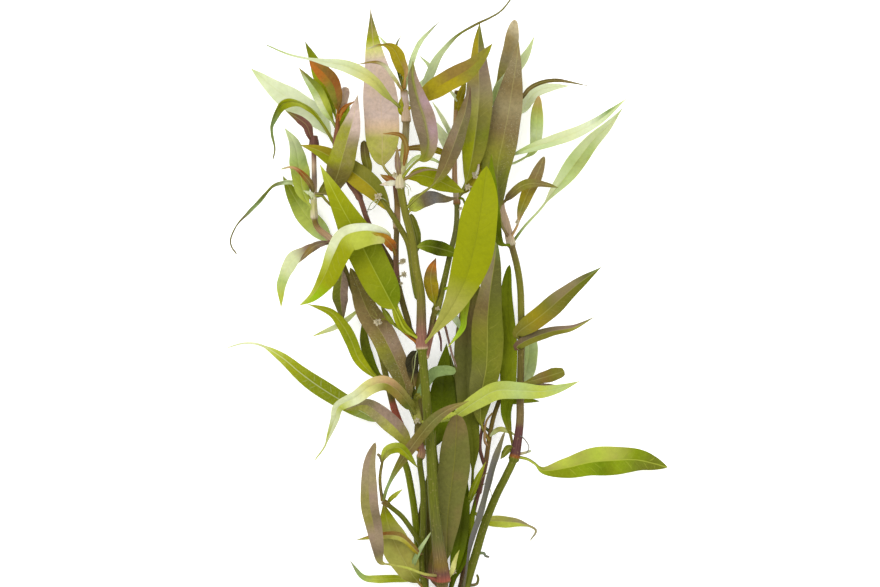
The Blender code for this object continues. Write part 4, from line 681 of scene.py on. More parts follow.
def smooth_path(points, steps=16):
    """A Catmull-Rom curve through the points, with many short steps, and its running length."""
    given = np.array(points, float)
    given = np.vstack([2 * given[0] - given[1], given, 2 * given[-1] - given[-2]])
    share = np.linspace(0, 1, steps, endpoint=False)[:, None]
    pieces = []
    for before, start, end, after in zip(given, given[1:], given[2:], given[3:]):
        pieces.append(0.5 * (2 * start + (end - before) * share
                             + (2 * before - 5 * start + 4 * end - after) * share ** 2
                             + (3 * start - before - 3 * end + after) * share ** 3))
    path = np.vstack(pieces + [given[-2][None]])
    length = np.concatenate([[0], np.cumsum(np.linalg.norm(np.diff(path, axis=0), axis=1))])
    return path, length


def columns_at(places, known, rows):
    """Each column of the rows read at the places, straight between the known ones."""
    return np.stack([np.interp(places, known, rows[:, column]) for column in range(3)], axis=-1)


def frames(centres, roll=0.0):
    """Side and normal at each centre; the side is level before it is rolled by the given degrees."""
    tangent = unit(np.gradient(centres, axis=0))
    side = unit(np.cross(tangent, (0, 0, 1)))
    normal = np.cross(side, tangent)
    turn = np.radians(roll)
    turn = turn[:, None] if np.ndim(turn) else turn
    return side * np.cos(turn) + normal * np.sin(turn), normal * np.cos(turn) - side * np.sin(turn)


def tone_row(words):
    """The named tones of one string, as rows of red, green and blue."""
    palette = bpy.context.scene.bunch_tones
    return np.array([getattr(palette, word)[:] for word in words.split()])


def tones_along(words, share):
    """Colour at each share of the length: the named tones evenly spaced, blended straight between."""
    rows = tone_row(words)
    return columns_at(share, np.linspace(0, 1, len(rows)), rows)


def opaque(rows):
    """One colour for each ring, with a fourth number of one."""
    return np.hstack([rows, np.ones((len(rows), 1))])[:, None]


def make_skin(rings, along_mm, across_mm, colours, values=None, closed=False):
    """One skin from a grid of rings, with its colours and values on every point.

    It is capped at both ends, or closed to a loop of rings.
    """
    count, sides = rings.shape[:2]
    index = np.arange(count * sides).reshape(count, sides)
    beside = np.roll(index, -1, axis=1)
    quads = np.stack([index, beside, np.roll(beside, -1, axis=0), np.roll(index, -1, axis=0)], axis=-1)
    spread = [np.broadcast_to(part, (count, sides)) for part in (along_mm, across_mm)]
    return {
        "points": rings.reshape(-1, 3) * MM,
        "quads": (quads if closed else quads[:-1]).reshape(-1, 4),
        "caps": [] if closed else [index[0, ::-1], index[-1]],
        "uv": np.stack(spread, axis=-1).reshape(-1, 2) / SURFACE_MM + (0, 0.5),
        "colours": {name: np.broadcast_to(part, (count, sides, 4)).reshape(-1, 4)
                    for name, part in colours.items()},
        "values": {name: np.broadcast_to(part, (count, sides)).reshape(-1)
                   for name, part in (values or {}).items()},
    }


def make_piece(name, skins, slot, nodes=()):
    """Joins the skins into one object at the origin, which rides on the root body."""
    starts = np.cumsum([0] + [len(skin["points"]) for skin in skins])
    points = np.vstack([skin["points"] for skin in skins])
    faces = np.vstack([skin["quads"] + start for skin, start in zip(skins, starts)]).tolist()
    for skin, start in zip(skins, starts):
        faces += [(cap + start).tolist() for cap in skin["caps"]]
    mesh = bpy.data.meshes.new(name)
    mesh.from_pydata(points.tolist(), [], faces)
    for group, kind, field in (("colours", "FLOAT_COLOR", "color"), ("values", "FLOAT", "value")):
        for key in skins[0][group]:
            data = np.concatenate([skin[group][key] for skin in skins]).astype(np.float32)
            mesh.attributes.new(key, kind, "POINT").data.foreach_set(field, data.ravel())
    corner = np.empty(len(mesh.loops), np.int32)
    mesh.loops.foreach_get("vertex_index", corner)
    uv = np.vstack([skin["uv"] for skin in skins])
    mesh.uv_layers.new(name="surface").data.foreach_set("uv", uv[corner].astype(np.float32).ravel())
    mesh.shade_smooth()
    mesh.set_sharp_from_angle(angle=np.radians(HARD_EDGE))
    mesh.validate()
    item = bpy.data.objects.new(name, mesh)
    bpy.context.scene.collection.objects.link(item)
    mesh.materials.append(finish(slot))
    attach(item, "root")
    if nodes:
        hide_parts(*nodes)


def stem_radius(stem, path, length, places):
    """Radius at the given running lengths.

    It shrinks evenly from foot to top. At each node it grows at once at the rim, like a skirt, and
    comes back above it as an exponential of the distance.
    """
    swell = bpy.context.scene.bunch_shape.node_swell
    radius = stem.foot_radius + (stem.top_radius - stem.foot_radius) * places / length[-1]
    for rim in stem.nodes:
        rise = places - length[np.argmin(np.abs(path[:, 1] - rim))]
        above = np.exp(-np.abs(rise) / (SKIRT_REACH * stem.foot_radius))
        radius = radius * (1 + swell * np.where(rise > 0, above, bell(rise, RIM_DROP)))
    return radius


def sunk_foot(points, bearers):
    """The points, with the first one moved inside the nearest bearer so that no gap shows."""
    foot = np.array(points[0], float)
    near = []
    for bearer in bearers:
        path, length = smooth_path(bearer.points)
        radius = stem_radius(bearer, path, length, length)
        distance = np.linalg.norm(path - foot, axis=1) - radius
        place = distance.argmin()
        near.append((distance[place], tuple(path[place]), radius[place]))
    _, middle, bearer_radius = min(near)
    outward = unit(foot - middle) if np.any(foot != middle) else np.zeros(3)
    return [tuple(middle + outward * bearer_radius * SINK), *points[1:]]


def blade_outline(share, leaf):
    """Half width in millimetres at each share of the length.

    The blade is a power of the distance from its foot times a power of the distance from its tip,
    scaled to one at its widest. The petiole is a narrow stalk that fades into it, and a tail is what
    the stalk leaves beyond the blade. The leaf's ends scale the two powers.
    """
    shape = bpy.context.scene.bunch_shape
    foot_power = shape.foot_power * leaf.ends[0]
    tip_power = shape.tip_power * leaf.ends[1]
    blade = np.clip((share - leaf.petiole) / (1 - leaf.petiole - leaf.tail), 0, 1)
    widest = foot_power / (foot_power + tip_power)
    lance = blade ** foot_power * (1 - blade) ** tip_power
    lance = lance / (widest ** foot_power * (1 - widest) ** tip_power)
    stalk = shape.petiole_width / MM / 2 * (1 - STALK_TAPER * share ** STALK_POWER)
    if leaf.tail:
        stalk = np.maximum(stalk, TAIL_WIDTH * (1 - share) ** TAIL_POWER)
    return np.hypot(leaf.width / 2 * lance, np.minimum(stalk, leaf.width / 2))


def half_section(half, fold, curl, steps):
    """One half of the blade across: distance out and rise from the midrib to the margin.

    The blade leaves the midrib at the fold angle and turns steadily by the curl. Distance and rise
    are the running sums of the cosine and the sine of that lean, times the half width.
    """
    lean = np.radians(fold + curl * (steps[:-1] + steps[1:]) / 2)
    start = np.zeros((len(half), 1))
    return [np.hstack([start, np.cumsum(part * np.diff(steps), axis=1)]) * half
            for part in (np.cos(lean), np.sin(lean))]


def from_left(halves):
    """Two halves given from the midrib out, as one row from the left margin to the right."""
    return np.hstack([halves[0][:, :0:-1], halves[1]])


def both_skins(part):
    """Values of the upper skin from left to right, then the same values on the way back below."""
    return np.hstack([part, part[:, ::-1]])


def leaf_tones(leaf, share, reach, near_rib):
    """Colour of both faces: the tones along the blade, the left half's, the stripe, and the back."""
    across = np.ones((1, len(reach), 1))
    front = tones_along(leaf.tones, share)[:, None] * across
    if leaf.left:
        front = np.where(reach[None, :, None] < 0, tones_along(leaf.left, share)[:, None], front)
    if leaf.stripe:
        front = front + (tone_row(leaf.stripe)[0] - front) * near_rib[..., None]
    back = tones_along(leaf.back, share)[:, None] * across
    tint = np.concatenate([front, back], axis=1)
    clear = np.ones((*tint.shape[:2], 1))
    return {key: np.concatenate([np.broadcast_to(rows, tint.shape), clear * amount], axis=2)
            for key, rows, amount in (("tint", tint, 1),
                                      ("vein_tint", tone_row(leaf.vein)[0], leaf.strength),
                                      ("second_tint", tone_row(leaf.second)[0], leaf.patches))}


def leaf_skin(leaf, rings, half_steps, bearers, seed):
    """A thin closed blade: upper skin from left to right margin, then the underside back.

    Each ring is a folded, curled section on the midrib. To its rise come a wave that grows towards
    the margins, a shallow quilting between the side veins, and a rib or a groove along the midrib.
    """
    shape = bpy.context.scene.bunch_shape
    chance = np.random.default_rng(seed)
    path, length = smooth_path(sunk_foot(leaf.points, bearers))
    share = np.linspace(0, 1, rings)
    down = share[:, None]
    centres = columns_at(share * length[-1], length, path)
    sway = shape.sway * swing(SWAY_WAVES * share, chance.random())
    side, normal = frames(centres, leaf.roll + np.interp(share, (0, 0.5, 1), leaf.twist) + sway * share)
    half = blade_outline(share, leaf)[:, None]
    fullness = half / (leaf.width / 2)
    steps = np.linspace(0, 1, half_steps + 1) ** STEP_POWER
    steepen = 1 + STEEPER_FOOT * bell(down - leaf.petiole, FOOT_REACH)
    blade = np.clip((down - leaf.petiole * BLADE_FOOT) / BLADE_START, 0, 1)
    out, rise, flats = [], [], []
    for hand in (0, 1):
        ripple = 1 + UNEVEN * swing(UNEVEN_WAVES * down, chance.random())
        width = half * (1 + (leaf.halves[hand] * ripple - 1) * blade)
        far, up = half_section(width, leaf.fold[hand] * steepen * blade, leaf.curl[hand] * blade, steps)
        wave = swing(leaf.waves * down, chance.random())
        small = swing(SMALL_WAVES * leaf.waves * down, chance.random())
        lift = leaf.wave * shape.wave_scale * (wave + SMALL_WAVE * small) * fullness
        out.append(far)
        rise.append(up + lift * steps ** 2 * blade)
        flats.append(steps * half * leaf.halves[hand])
    across = from_left([-out[0], out[1]])
    height = from_left(rise)
    flat = from_left([-flats[0], flats[1]])
    reach = np.concatenate([-steps[:0:-1], steps])

    running = down * length[-1]
    spacing = np.clip(length[-1] / SIDE_VEINS, LEAST_SPACING, shape.vein_spacing / MM)
    forward = VEIN_LEAN * np.abs(flat) + VEIN_BOW * flat ** 2 / leaf.width
    phase = (running - forward) / spacing + 0.5 * (reach > 0)
    quilt = np.cos(2 * np.pi * phase) * np.sin(np.pi * np.abs(reach)) * blade
    height = height + shape.quilt_depth / MM * quilt * fullness
    middle = centres[:, None] + side[:, None] * across[..., None] + normal[:, None] * height[..., None]

    slope = np.gradient(height, axis=1) / np.maximum(np.gradient(across, axis=1), LEAST_STEP)
    lean = np.arctan(np.clip(slope, -STEEPEST, STEEPEST))[..., None]
    outward = normal[:, None] * np.cos(lean) - side[:, None] * np.sin(lean)
    fade = STALK_FADE[0] * leaf.petiole + STALK_FADE[1]
    stalk = np.clip(1 - (down - leaf.petiole * STALK_FULL) / fade, 0, 1)
    thick = shape.blade_thickness / MM + stalk * shape.petiole_width / MM * STALK_DEPTH
    thick = np.minimum(thick, MOST_THICK * half) / 2 * np.sqrt(1 - MARGIN_THIN * reach ** 2)
    rib = bell(flat, RIB_WIDTH) * (RIB_TIP + (1 - RIB_TIP) * (1 - down)) * (1 - stalk)
    rib = rib * shape.rib_height / MM
    top, low = TURNED_RIB_SHARES if leaf.colour in ("mauve", "taupe") else RIB_SHARES
    grid = np.concatenate([middle + outward * (thick + rib * top)[..., None],
                           (middle - outward * (thick + rib * low)[..., None])[:, ::-1]], axis=1)
    tones = leaf_tones(leaf, share, reach, bell(flat, STRIPE_WIDTH) * blade)
    return make_skin(grid, running, both_skins(flat), tones, {
        "vein_phase": both_skins(phase),
        "rib_distance": both_skins(np.abs(flat)),
        "margin": both_skins(np.broadcast_to(np.abs(reach), flat.shape)),
    })


def tube(centres, side, normal, reach, sides):
    """Rings round the centres: the side times the cosine of the angle, less the normal times its sine."""
    angle = turns(sides)[None, :, None]
    return centres[:, None] + reach * (side * np.cos(angle) - normal * np.sin(angle))


def stem_skin(stem):
    """A round stem that swells at each node, with a pale cut end.

    Four shallow flutes run along it as a cosine of the angle, and they turn slowly along the stem.
    Rings of falling radius close both ends.
    """
    points = stem.points
    if stem.parent:
        points = sunk_foot(points, [other for other in STEMS if other.name == stem.parent])
    path, length = smooth_path(points)
    places = np.linspace(0, length[-1], int(length[-1] / STEM_RING_STEP))
    centres = columns_at(places, length, path)
    radius = stem_radius(stem, path, length, places)
    side, normal = frames(centres)
    tangent = unit(np.gradient(centres, axis=0))

    ends, last = len(END_SHRINK), len(places) - 1
    pick = np.concatenate([np.full(ends, 0), np.arange(1, last), np.full(ends, last)])
    shrink, shift = np.ones(len(pick)), np.zeros(len(pick))
    shrink[:ends], shrink[-ends:] = END_SHRINK, END_SHRINK[::-1]
    shift[:ends], shift[-ends:] = -END_SHIFT, END_SHIFT[::-1] / 2
    centres = centres[pick] + shift[:, None] * tangent[pick]
    running = places[pick][:, None]
    flute = 1 + FLUTE_DEPTH * np.cos(FLUTES * turns(STEM_SIDES) + running / FLUTE_TURN)
    rings = tube(centres, side[pick][:, None], normal[pick][:, None],
                 ((radius[pick] * shrink)[:, None] * flute)[..., None], STEM_SIDES)
    rows = np.array([tone_row(tone)[0] for _, tone in stem.tones])
    tint = columns_at(centres[:, 1], [place for place, _ in stem.tones], rows)
    tint[:ends - 1] = tone_row("cream")[0]
    return make_skin(rings, running, turns(STEM_SIDES) * stem.foot_radius, {"tint": opaque(tint)})


def strand_skin(strand):
    """A thin round strand that tapers a little and closes at both ends."""
    path, length = smooth_path(strand.points)
    share = np.linspace(0, 1, STRAND_RINGS)
    centres = columns_at(share * length[-1], length, path)
    side, normal = frames(centres)
    radius = strand.radius * (1 - STRAND_TAPER * share)
    radius = radius * np.sqrt(np.clip(1 - (2 * share - 1) ** STRAND_ROUNDING, STRAND_TIP, 1))
    rings = tube(centres, side[:, None], normal[:, None], radius[:, None, None], STRAND_SIDES)
    return make_skin(rings, (share * length[-1])[:, None], turns(STRAND_SIDES) * strand.radius,
                     {"tint": opaque(tones_along(strand.tones, share))})


def bract_skins(middle, reach, count, seed):
    """Pointed dry bracts round a small head: each points out along a spiral of golden turns."""
    chance = np.random.default_rng(seed)
    number = np.arange(count)
    height = 1 - 2 * (number + 0.5) / count
    turn = number * np.pi * (3 - np.sqrt(5))
    ring = np.sqrt(1 - height ** 2)
    outward = np.stack([ring * np.cos(turn), ring * np.sin(turn), height], axis=1)
    share = np.linspace(0, 1, BRACT_SIDES)[:, None]
    tint = opaque(tones_along("straw cream cream", share[:, 0]))
    skins = []
    for direction, size in zip(outward, reach * chance.uniform(*BRACT_LENGTHS, count)):
        bend = np.cross(direction, chance.normal(size=3)) * BRACT_BEND * size * share ** 2
        centres = np.array(middle) + direction * share * size + bend
        side = unit(np.cross(direction, BRACT_UP))
        arc = np.sin(np.pi * (BRACT_ARC[0] + BRACT_ARC[1] * share))
        half = size * BRACT_WIDTH * (arc ** BRACT_POWER)
        rings = tube(centres, side, BRACT_THICKNESS * np.cross(side, direction), half[:, None], BRACT_SIDES)
        skins.append(make_skin(rings, share * size, turns(BRACT_SIDES) * size / 4, {"tint": tint}))
    return skins


def tie_skin():
    """A soft foam band: a rounded flat section carried round an oval, a little waisted and uneven."""
    turn = turns(TIE_RINGS)[:, None]
    section = turns(TIE_SIDES)
    across, out = np.cos(section), np.sin(section)
    wide = np.sign(across) * np.abs(across) ** TIE_EDGES[0] * TIE_WIDTH / 2
    thick = np.sign(out) * np.abs(out) ** TIE_EDGES[1] * TIE_WALL / 2
    pinch = TIE_LUMP * np.sin(TIE_LUMPS * turn) - TIE_WAIST * np.cos(wide / TIE_WIDTH * np.pi)
    middle = np.array(TIE_INNER) + TIE_WALL / 2
    reach = middle + (thick + pinch)[..., None]
    points = np.stack([reach[..., 0] * np.cos(turn), wide + TIE_WAVE * np.sin(TIE_WAVES * turn),
                       reach[..., 1] * np.sin(turn)], axis=-1) + np.array(TIE_PLACE)
    return make_skin(points, turn * middle[0], wide, {"tint": opaque(tone_row("foam"))}, closed=True)


# Waves or scattered cells to a metre, and the net's cells to a unit of the surface coordinates
BLOTCHES = 90
VEIN_BENDS = 110
VEIN_FADES = 170
LEAF_GRAIN = 900
SPECKLES = 1600
NET_CELLS = 95
STALK_DOTS = 700
STALK_GRAIN = 1500
FOAM_GRAIN = 400
FOAM_PORES = 1800
STREAK_STRETCH = (12, 260, 1)    # waves along and across a stem to a unit of its surface coordinates
# Limits between which a pattern of a leaf comes in, the second one where it is full
BLOTCH_LIMITS = (0.42, 0.64)
SPECKLE_LIMITS = (0.34, 0.16)
SPECKLED_LIMITS = (0.46, 0.56)    # speckles keep to the blotches
OFF_RIB = (0.3, 0.9)      # millimetres from the midrib where the side veins come in
OFF_MARGIN = (1.0, 0.55)  # and the shares of the half width
VEIN_LIMITS = (0.36, 0.6)    # side veins are missing in places
SIDE_VEIN = (0.08, 0.015)    # half widths as shares of the spacing
MIDRIB = (0.30, 0.10)     # half widths in millimetres
NET_LINE = (0.09, 0.02)   # half widths as shares of a cell
# How far the side veins wander, and the tint and relief of veins, net, midrib and grain
VEIN_WANDER = 1.6
SIDE_VEIN_TINT = 0.8
NET_TINT = 0.2
MIDRIB_TINT = 1.5
SIDE_VEIN_RISE = 0.6
NET_RISE = 0.25
GRAIN_RISE = 0.3
# Depth of a relief in metres
RELIEF_DEPTH = 0.0002
FOAM_DEPTH = 0.0003
# Tones of speckles and dots, the painted shade in the foam's pores, and the tint of light let through
SPECKLE_TONE = (0.40, 0.37, 0.22, 1)
STALK_DOT_TONE = (0.30, 0.22, 0.10, 1)
PORE_SHADE_TONE = (0.36, 0.32, 0.24, 1)
GLOW_TINT = (1.1, 1.08, 0.85, 1)
# Roughness, share of light let through, relief of the veins, strength of the mottling and the speckles
LEAF_FINISHES = {
    "leaf_bright": (0.42, 0.30, 0.5, 0.05, 0),
    "leaf_yellow": (0.45, 0.30, 0.4, 0.06, 0),
    "leaf_olive": (0.48, 0.22, 0.5, 0.09, 0),
    "leaf_dark": (0.45, 0.20, 0.4, 0.08, 0),
    "leaf_pale": (0.50, 0.42, 0.3, 0.03, 0),
    "leaf_mauve": (0.60, 0.20, 0.7, 0.10, 0.15),
    "leaf_taupe": (0.58, 0.20, 0.7, 0.12, 0.4),
    "leaf_rust": (0.46, 0.32, 0.4, 0.09, 0),
    "leaf_brown": (0.52, 0.25, 0.5, 0.10, 0.1),
}
# Roughness of the two stem finishes, and how much their streaks darken and lighten them
STALK_ROUGHNESS = {"stem_green": 0.42, "stem_brown": 0.5}
STALK_SHADE = 0.62
STALK_STREAK = 0.16


class Finish:
    """One material, with short calls for the nodes that the finishes share.

    A value may be a plain one, or another node's output, which is then linked.
    """

    def __init__(self, name):
        self.material = bpy.data.materials.new(name)
        self.material.use_nodes = True
        self.tree = self.material.node_tree
        self.shader = self.tree.nodes["Principled BSDF"]

    def feed(self, node, values):
        """Sets or links the node's sockets, named or numbered."""
        for key, value in values.items():
            socket = node.inputs[key]
            if isinstance(value, bpy.types.NodeSocket):
                self.tree.links.new(value, socket)
            else:
                socket.default_value = value

    def add(self, kind, values, output=0, **settings):
        """The output of a new node with those settings and socket values."""
        node = self.tree.nodes.new("ShaderNode" + kind)
        for key, value in settings.items():
            setattr(node, key, value)
        self.feed(node, values)
        return node.outputs[output]

    def sums(self, operation, *values):
        """The result of one sum."""
        return self.add("Math", dict(enumerate(values)), operation=operation)

    def product(self, first, second):
        """The first value times the second."""
        return self.sums("MULTIPLY", first, second)

    def between(self, value, low, high, start=0.0, end=1.0):
        """The value eased from start to end while it goes from low to high."""
        return self.add("MapRange", {"Value": value, "From Min": low, "From Max": high, "To Min": start,
                                     "To Max": end}, "Result", interpolation_type="SMOOTHSTEP")

    def blended(self, share, first, second, kind="MIX"):
        """The share of the second colour mixed into the first."""
        return self.add("Mix", {0: share, 6: first, 7: second}, 2, data_type="RGBA", blend_type=kind)

    def shaded(self, colour, value, low, high):
        """The colour times a grey that goes from low to high with the value."""
        grey = self.between(value, 0.3, 0.7, low, high)
        grey = self.add("CombineColor", {"Red": grey, "Green": grey, "Blue": grey})
        return self.blended(1.0, colour, grey, "MULTIPLY")

    def attribute(self, name, output="Fac"):
        """One of the piece's own values: its number, its Color or its Alpha."""
        return self.add("Attribute", {}, output, attribute_name=name)

    def place(self):
        """The point's place in the piece."""
        return self.add("TexCoord", {}, "Object")

    def surface(self):
        """The point's place along and across the skin."""
        return self.add("UVMap", {}, uv_map="surface")

    def noise(self, vector, scale, detail=3.0, roughness=0.5):
        """Smooth noise with that many waves to a unit."""
        return self.add("TexNoise", {"Vector": vector, "Scale": scale, "Detail": detail,
                                     "Roughness": roughness}, "Fac")

    def cells(self, vector, scale, feature="F1"):
        """Distance to the nearest of many scattered points, or to the border between two of them."""
        return self.add("TexVoronoi", {"Vector": vector, "Scale": scale}, "Distance", feature=feature)

    def dress(self, colour, roughness, strength, depth, height):
        """Gives the shader its colour, its roughness and a relief of that depth in metres."""
        relief = self.add("Bump", {"Strength": strength, "Distance": depth, "Height": height})
        self.feed(self.shader, {"Base Color": colour, "Roughness": roughness, "Normal": relief})


def leaf_finish(name, roughness, see_through, relief, mottle, speckle):
    """A thin leaf that lets light through.

    Colour: the piece's tint, blotched with its second tone by a broad noise, darkened and lightened by
    a fine one, and turned to the vein's tone on the midrib, the side veins and a fine net of veins.
    """
    made = Finish(name)
    place = made.place()
    distance = made.attribute("rib_distance")
    margin = made.attribute("margin")

    broad = made.noise(place, BLOTCHES, 3, 0.55)
    patch = made.product(made.between(broad, *BLOTCH_LIMITS), made.attribute("second_tint", "Alpha"))
    colour = made.blended(patch, made.attribute("tint", "Color"), made.attribute("second_tint", "Color"))
    grain = made.noise(place, LEAF_GRAIN, 4, 0.65)
    colour = made.shaded(colour, grain, 1 - mottle, 1 + mottle)
    dots = made.between(made.cells(place, SPECKLES), *SPECKLE_LIMITS, 0.0, speckle)
    dots = made.product(dots, made.between(broad, *SPECKLED_LIMITS))
    colour = made.blended(dots, colour, SPECKLE_TONE)

    bend = made.noise(place, VEIN_BENDS, 2)
    phase = made.sums("MULTIPLY_ADD", bend, VEIN_WANDER, made.attribute("vein_phase"))
    line = made.sums("ABSOLUTE", made.sums("SUBTRACT", made.sums("FRACT", phase), 0.5))
    fade = made.product(made.between(distance, *OFF_RIB), made.between(margin, *OFF_MARGIN))
    fade = made.product(fade, made.between(made.noise(place, VEIN_FADES, 2), *VEIN_LIMITS))
    side_vein = made.product(made.between(line, *SIDE_VEIN), fade)
    rib = made.between(distance, *MIDRIB)
    net = made.between(made.cells(made.surface(), NET_CELLS, "DISTANCE_TO_EDGE"), *NET_LINE)
    lines = made.sums("MAXIMUM", made.product(side_vein, SIDE_VEIN_TINT), made.product(net, NET_TINT))
    lines = made.sums("MAXIMUM", lines, made.product(rib, MIDRIB_TINT))
    lines = made.product(lines, made.attribute("vein_tint", "Alpha"))
    colour = made.blended(lines, colour, made.attribute("vein_tint", "Color"))

    height = made.sums("ADD", made.product(side_vein, SIDE_VEIN_RISE), made.product(net, NET_RISE))
    height = made.sums("ADD", height, made.product(grain, GRAIN_RISE))
    made.dress(colour, made.between(broad, 0.3, 0.7, roughness - 0.07, roughness + 0.09), relief,
               RELIEF_DEPTH, height)
    made.feed(made.shader, {"Specular IOR Level": 0.05})
    glow = made.add("BsdfTranslucent", {"Color": made.blended(1.0, colour, GLOW_TINT, "MULTIPLY")})
    mixed = made.add("MixShader", {0: see_through, 1: made.shader.outputs[0], 2: glow})
    made.feed(made.tree.nodes["Material Output"], {"Surface": mixed})


def stalk_finish(name, roughness):
    """A fleshy stem: its tint with long streaks, fine dots and a faint waxy skin."""
    made = Finish(name)
    place = made.place()
    drawn = made.add("Mapping", {"Vector": made.surface(), "Scale": STREAK_STRETCH})
    streak = made.noise(drawn, 1.0, 3, 0.6)
    colour = made.shaded(made.attribute("tint", "Color"), streak, STALK_SHADE - STALK_STREAK,
                         STALK_SHADE + STALK_STREAK)
    dots = made.product(made.between(made.cells(place, STALK_DOTS), 0.30, 0.14), 0.22)
    colour = made.blended(dots, colour, STALK_DOT_TONE)
    height = made.sums("MULTIPLY_ADD", streak, 0.8, made.noise(place, STALK_GRAIN, 3))
    made.dress(colour, made.between(streak, 0.3, 0.7, roughness - 0.06, roughness + 0.1), 0.5,
               RELIEF_DEPTH, height)
    made.feed(made.shader, {"Specular IOR Level": 0.07, "Subsurface Weight": 0.05,
                            "Subsurface Radius": (0.0012, 0.0009, 0.0003)})


def foam_finish(name):
    """Soft foam: fine pores from a cell pattern, darkened in their pits with painted shade, matt."""
    made = Finish(name)
    place = made.place()
    pit = made.between(made.cells(place, FOAM_PORES), 0.1, 0.6)
    # The pits take a darker tone: painted shade inside the pores.
    colour = made.blended(pit, PORE_SHADE_TONE, made.attribute("tint", "Color"))
    made.dress(colour, made.between(made.noise(place, FOAM_GRAIN), 0.3, 0.7, 0.78, 0.92), 0.8, FOAM_DEPTH,
               pit)


def finish(slot):
    """The material of that slot, made once."""
    name = "finish_" + slot
    if name not in bpy.data.materials:
        if slot in LEAF_FINISHES:
            leaf_finish(name, *LEAF_FINISHES[slot])
        elif slot in STALK_ROUGHNESS:
            stalk_finish(name, STALK_ROUGHNESS[slot])
        else:
            foam_finish(name)
    return bpy.data.materials[name]


# Light and floor: places and width of the soft lights in metres, and whites
KEY_PLACE = (-0.5, 0.5, 1.1)
FILL_PLACE = (0.8, -0.2, 0.9)
LIGHT_WIDTH = 1.0
WHITE = (1, 1, 1, 1)
FLOOR_WHITE = (0.92, 0.92, 0.92, 1)
# The camera's sensor in millimetres, and how far it sees in metres
SENSOR_WIDTH = 36.0
SIGHT = 20.0
# First random seeds of the small parts
YOUNG_SEED = 500
SLIVER_SEED = 700
FLOWER_SEED = 900

# Each tone: what it is for, and its red, green and blue
TONES = {
    "fresh": ("Upper side of a young full leaf", 0.27, 0.29, 0.004),
    "acid": ("Leaves with light behind them", 0.27, 0.46, 0.008),
    "lime": ("Thin light green stretches", 0.42, 0.465, 0.06),
    "mint": ("Pale green stretches", 0.4, 0.49, 0.16),
    "straw": ("Yellowish pale stretches", 0.58, 0.56, 0.2),
    "pale": ("Whitish green outer leaves", 0.64, 0.67, 0.43),
    "frost": ("The whitest leaves", 0.67, 0.71, 0.55),
    "sage": ("Greyish pale green", 0.52, 0.6, 0.33),
    "fern": ("Greyish mid green", 0.22, 0.31, 0.11),
    "khaki": ("Greyish yellow", 0.36, 0.35, 0.07),
    "grass": ("Plain mid green", 0.19, 0.225, 0.005),
    "moss": ("Dull green of older leaves", 0.14, 0.155, 0.012),
    "sedge": ("Dull grey-green", 0.135, 0.135, 0.03),
    "vivid": ("Lit dark leaves", 0.12, 0.165, 0.001),
    "deep": ("Shaded dark leaves", 0.05, 0.065, 0.001),
    "olive": ("Brownish green", 0.2, 0.19, 0.022),
    "mustard": ("Yellow olive", 0.31, 0.245, 0.008),
    "taupe": ("Grey-brown undersides", 0.27, 0.22, 0.11),
    "bark": ("Dull brown", 0.19, 0.135, 0.05),
    "slate": ("Dark grey-purple undersides", 0.15, 0.115, 0.06),
    "ash": ("Plain grey", 0.16, 0.15, 0.14),
    "mauve": ("Purple undersides", 0.265, 0.185, 0.135),
    "lilac": ("Light purple undersides", 0.34, 0.22, 0.25),
    "rose": ("Pinkish undersides", 0.56, 0.43, 0.37),
    "blush": ("Pinkish straw", 0.58, 0.42, 0.27),
    "tan": ("Light orange-brown", 0.5, 0.3, 0.15),
    "rust": ("Red-brown young leaves", 0.27, 0.09, 0.015),
    "amber": ("Orange young leaves", 0.44, 0.15, 0.02),
    "brick": ("Red rims of nodes", 0.38, 0.1, 0.06),
    "brown": ("Leaf brown", 0.22, 0.145, 0.03),
    "maroon": ("Dark red stem stretches", 0.16, 0.07, 0.05),
    "plum": ("Purple stem stretches", 0.125, 0.05, 0.045),
    "wood": ("Brown-green stem", 0.13, 0.105, 0.02),
    "node": ("Pinkish swollen nodes", 0.29, 0.135, 0.09),
    "dead": ("Dead blackish leaves", 0.035, 0.03, 0.015),
    "cream": ("Dried flowers and cut ends", 0.66, 0.57, 0.38),
    "foam": ("The tie round the foot", 0.66, 0.62, 0.52),
}


def colour_value(name, description, red, green, blue):
    """A colour property with its default."""
    return bpy.props.FloatVectorProperty(name=name, description=description, default=(red, green, blue),
                                         size=3, subtype="COLOR", min=0.0, max=1.0)


def length_value(name, description, default):
    """A length property in metres."""
    return bpy.props.FloatProperty(name=name, description=description, default=default, min=0.0,
                                   unit="LENGTH", precision=5)


def number_value(name, description, default, unit="NONE"):
    """A plain number property."""
    return bpy.props.FloatProperty(name=name, description=description, default=default, unit=unit)


class BunchTones(bpy.types.PropertyGroup):
    """Colours of the leaves and stems."""

    __annotations__ = {name: colour_value(name.capitalize(), *values) for name, values in TONES.items()}


class BunchShape(bpy.types.PropertyGroup):
    """Sizes of the leaves and stems."""

    blade_thickness: length_value("Blade thickness", "Thickness of a leaf between its veins", 0.00028)
    petiole_width: length_value("Petiole width", "Width of a leaf's stalk", 0.0012)
    rib_height: length_value("Rib height", "How far the midrib stands out", 0.00034)
    quilt_depth: length_value("Quilt depth", "Rise of the blade between its side veins", 0.00009)
    vein_spacing: length_value("Vein spacing", "Distance between side veins on a long leaf", 0.0036)
    node_swell: number_value("Node swelling", "Extra radius at a node, as a share", 0.48)
    foot_power: number_value("Foot power", "Lower makes the blade fuller near its foot", 0.72)
    tip_power: number_value("Tip power", "Higher makes the tip longer and sharper", 1.02)
    wave_scale: number_value("Wave scale", "Strength of the waves along the margins", 1.0)
    sway: number_value("Sway", "Slow turn of the blade along its length, in degrees", 7.0)


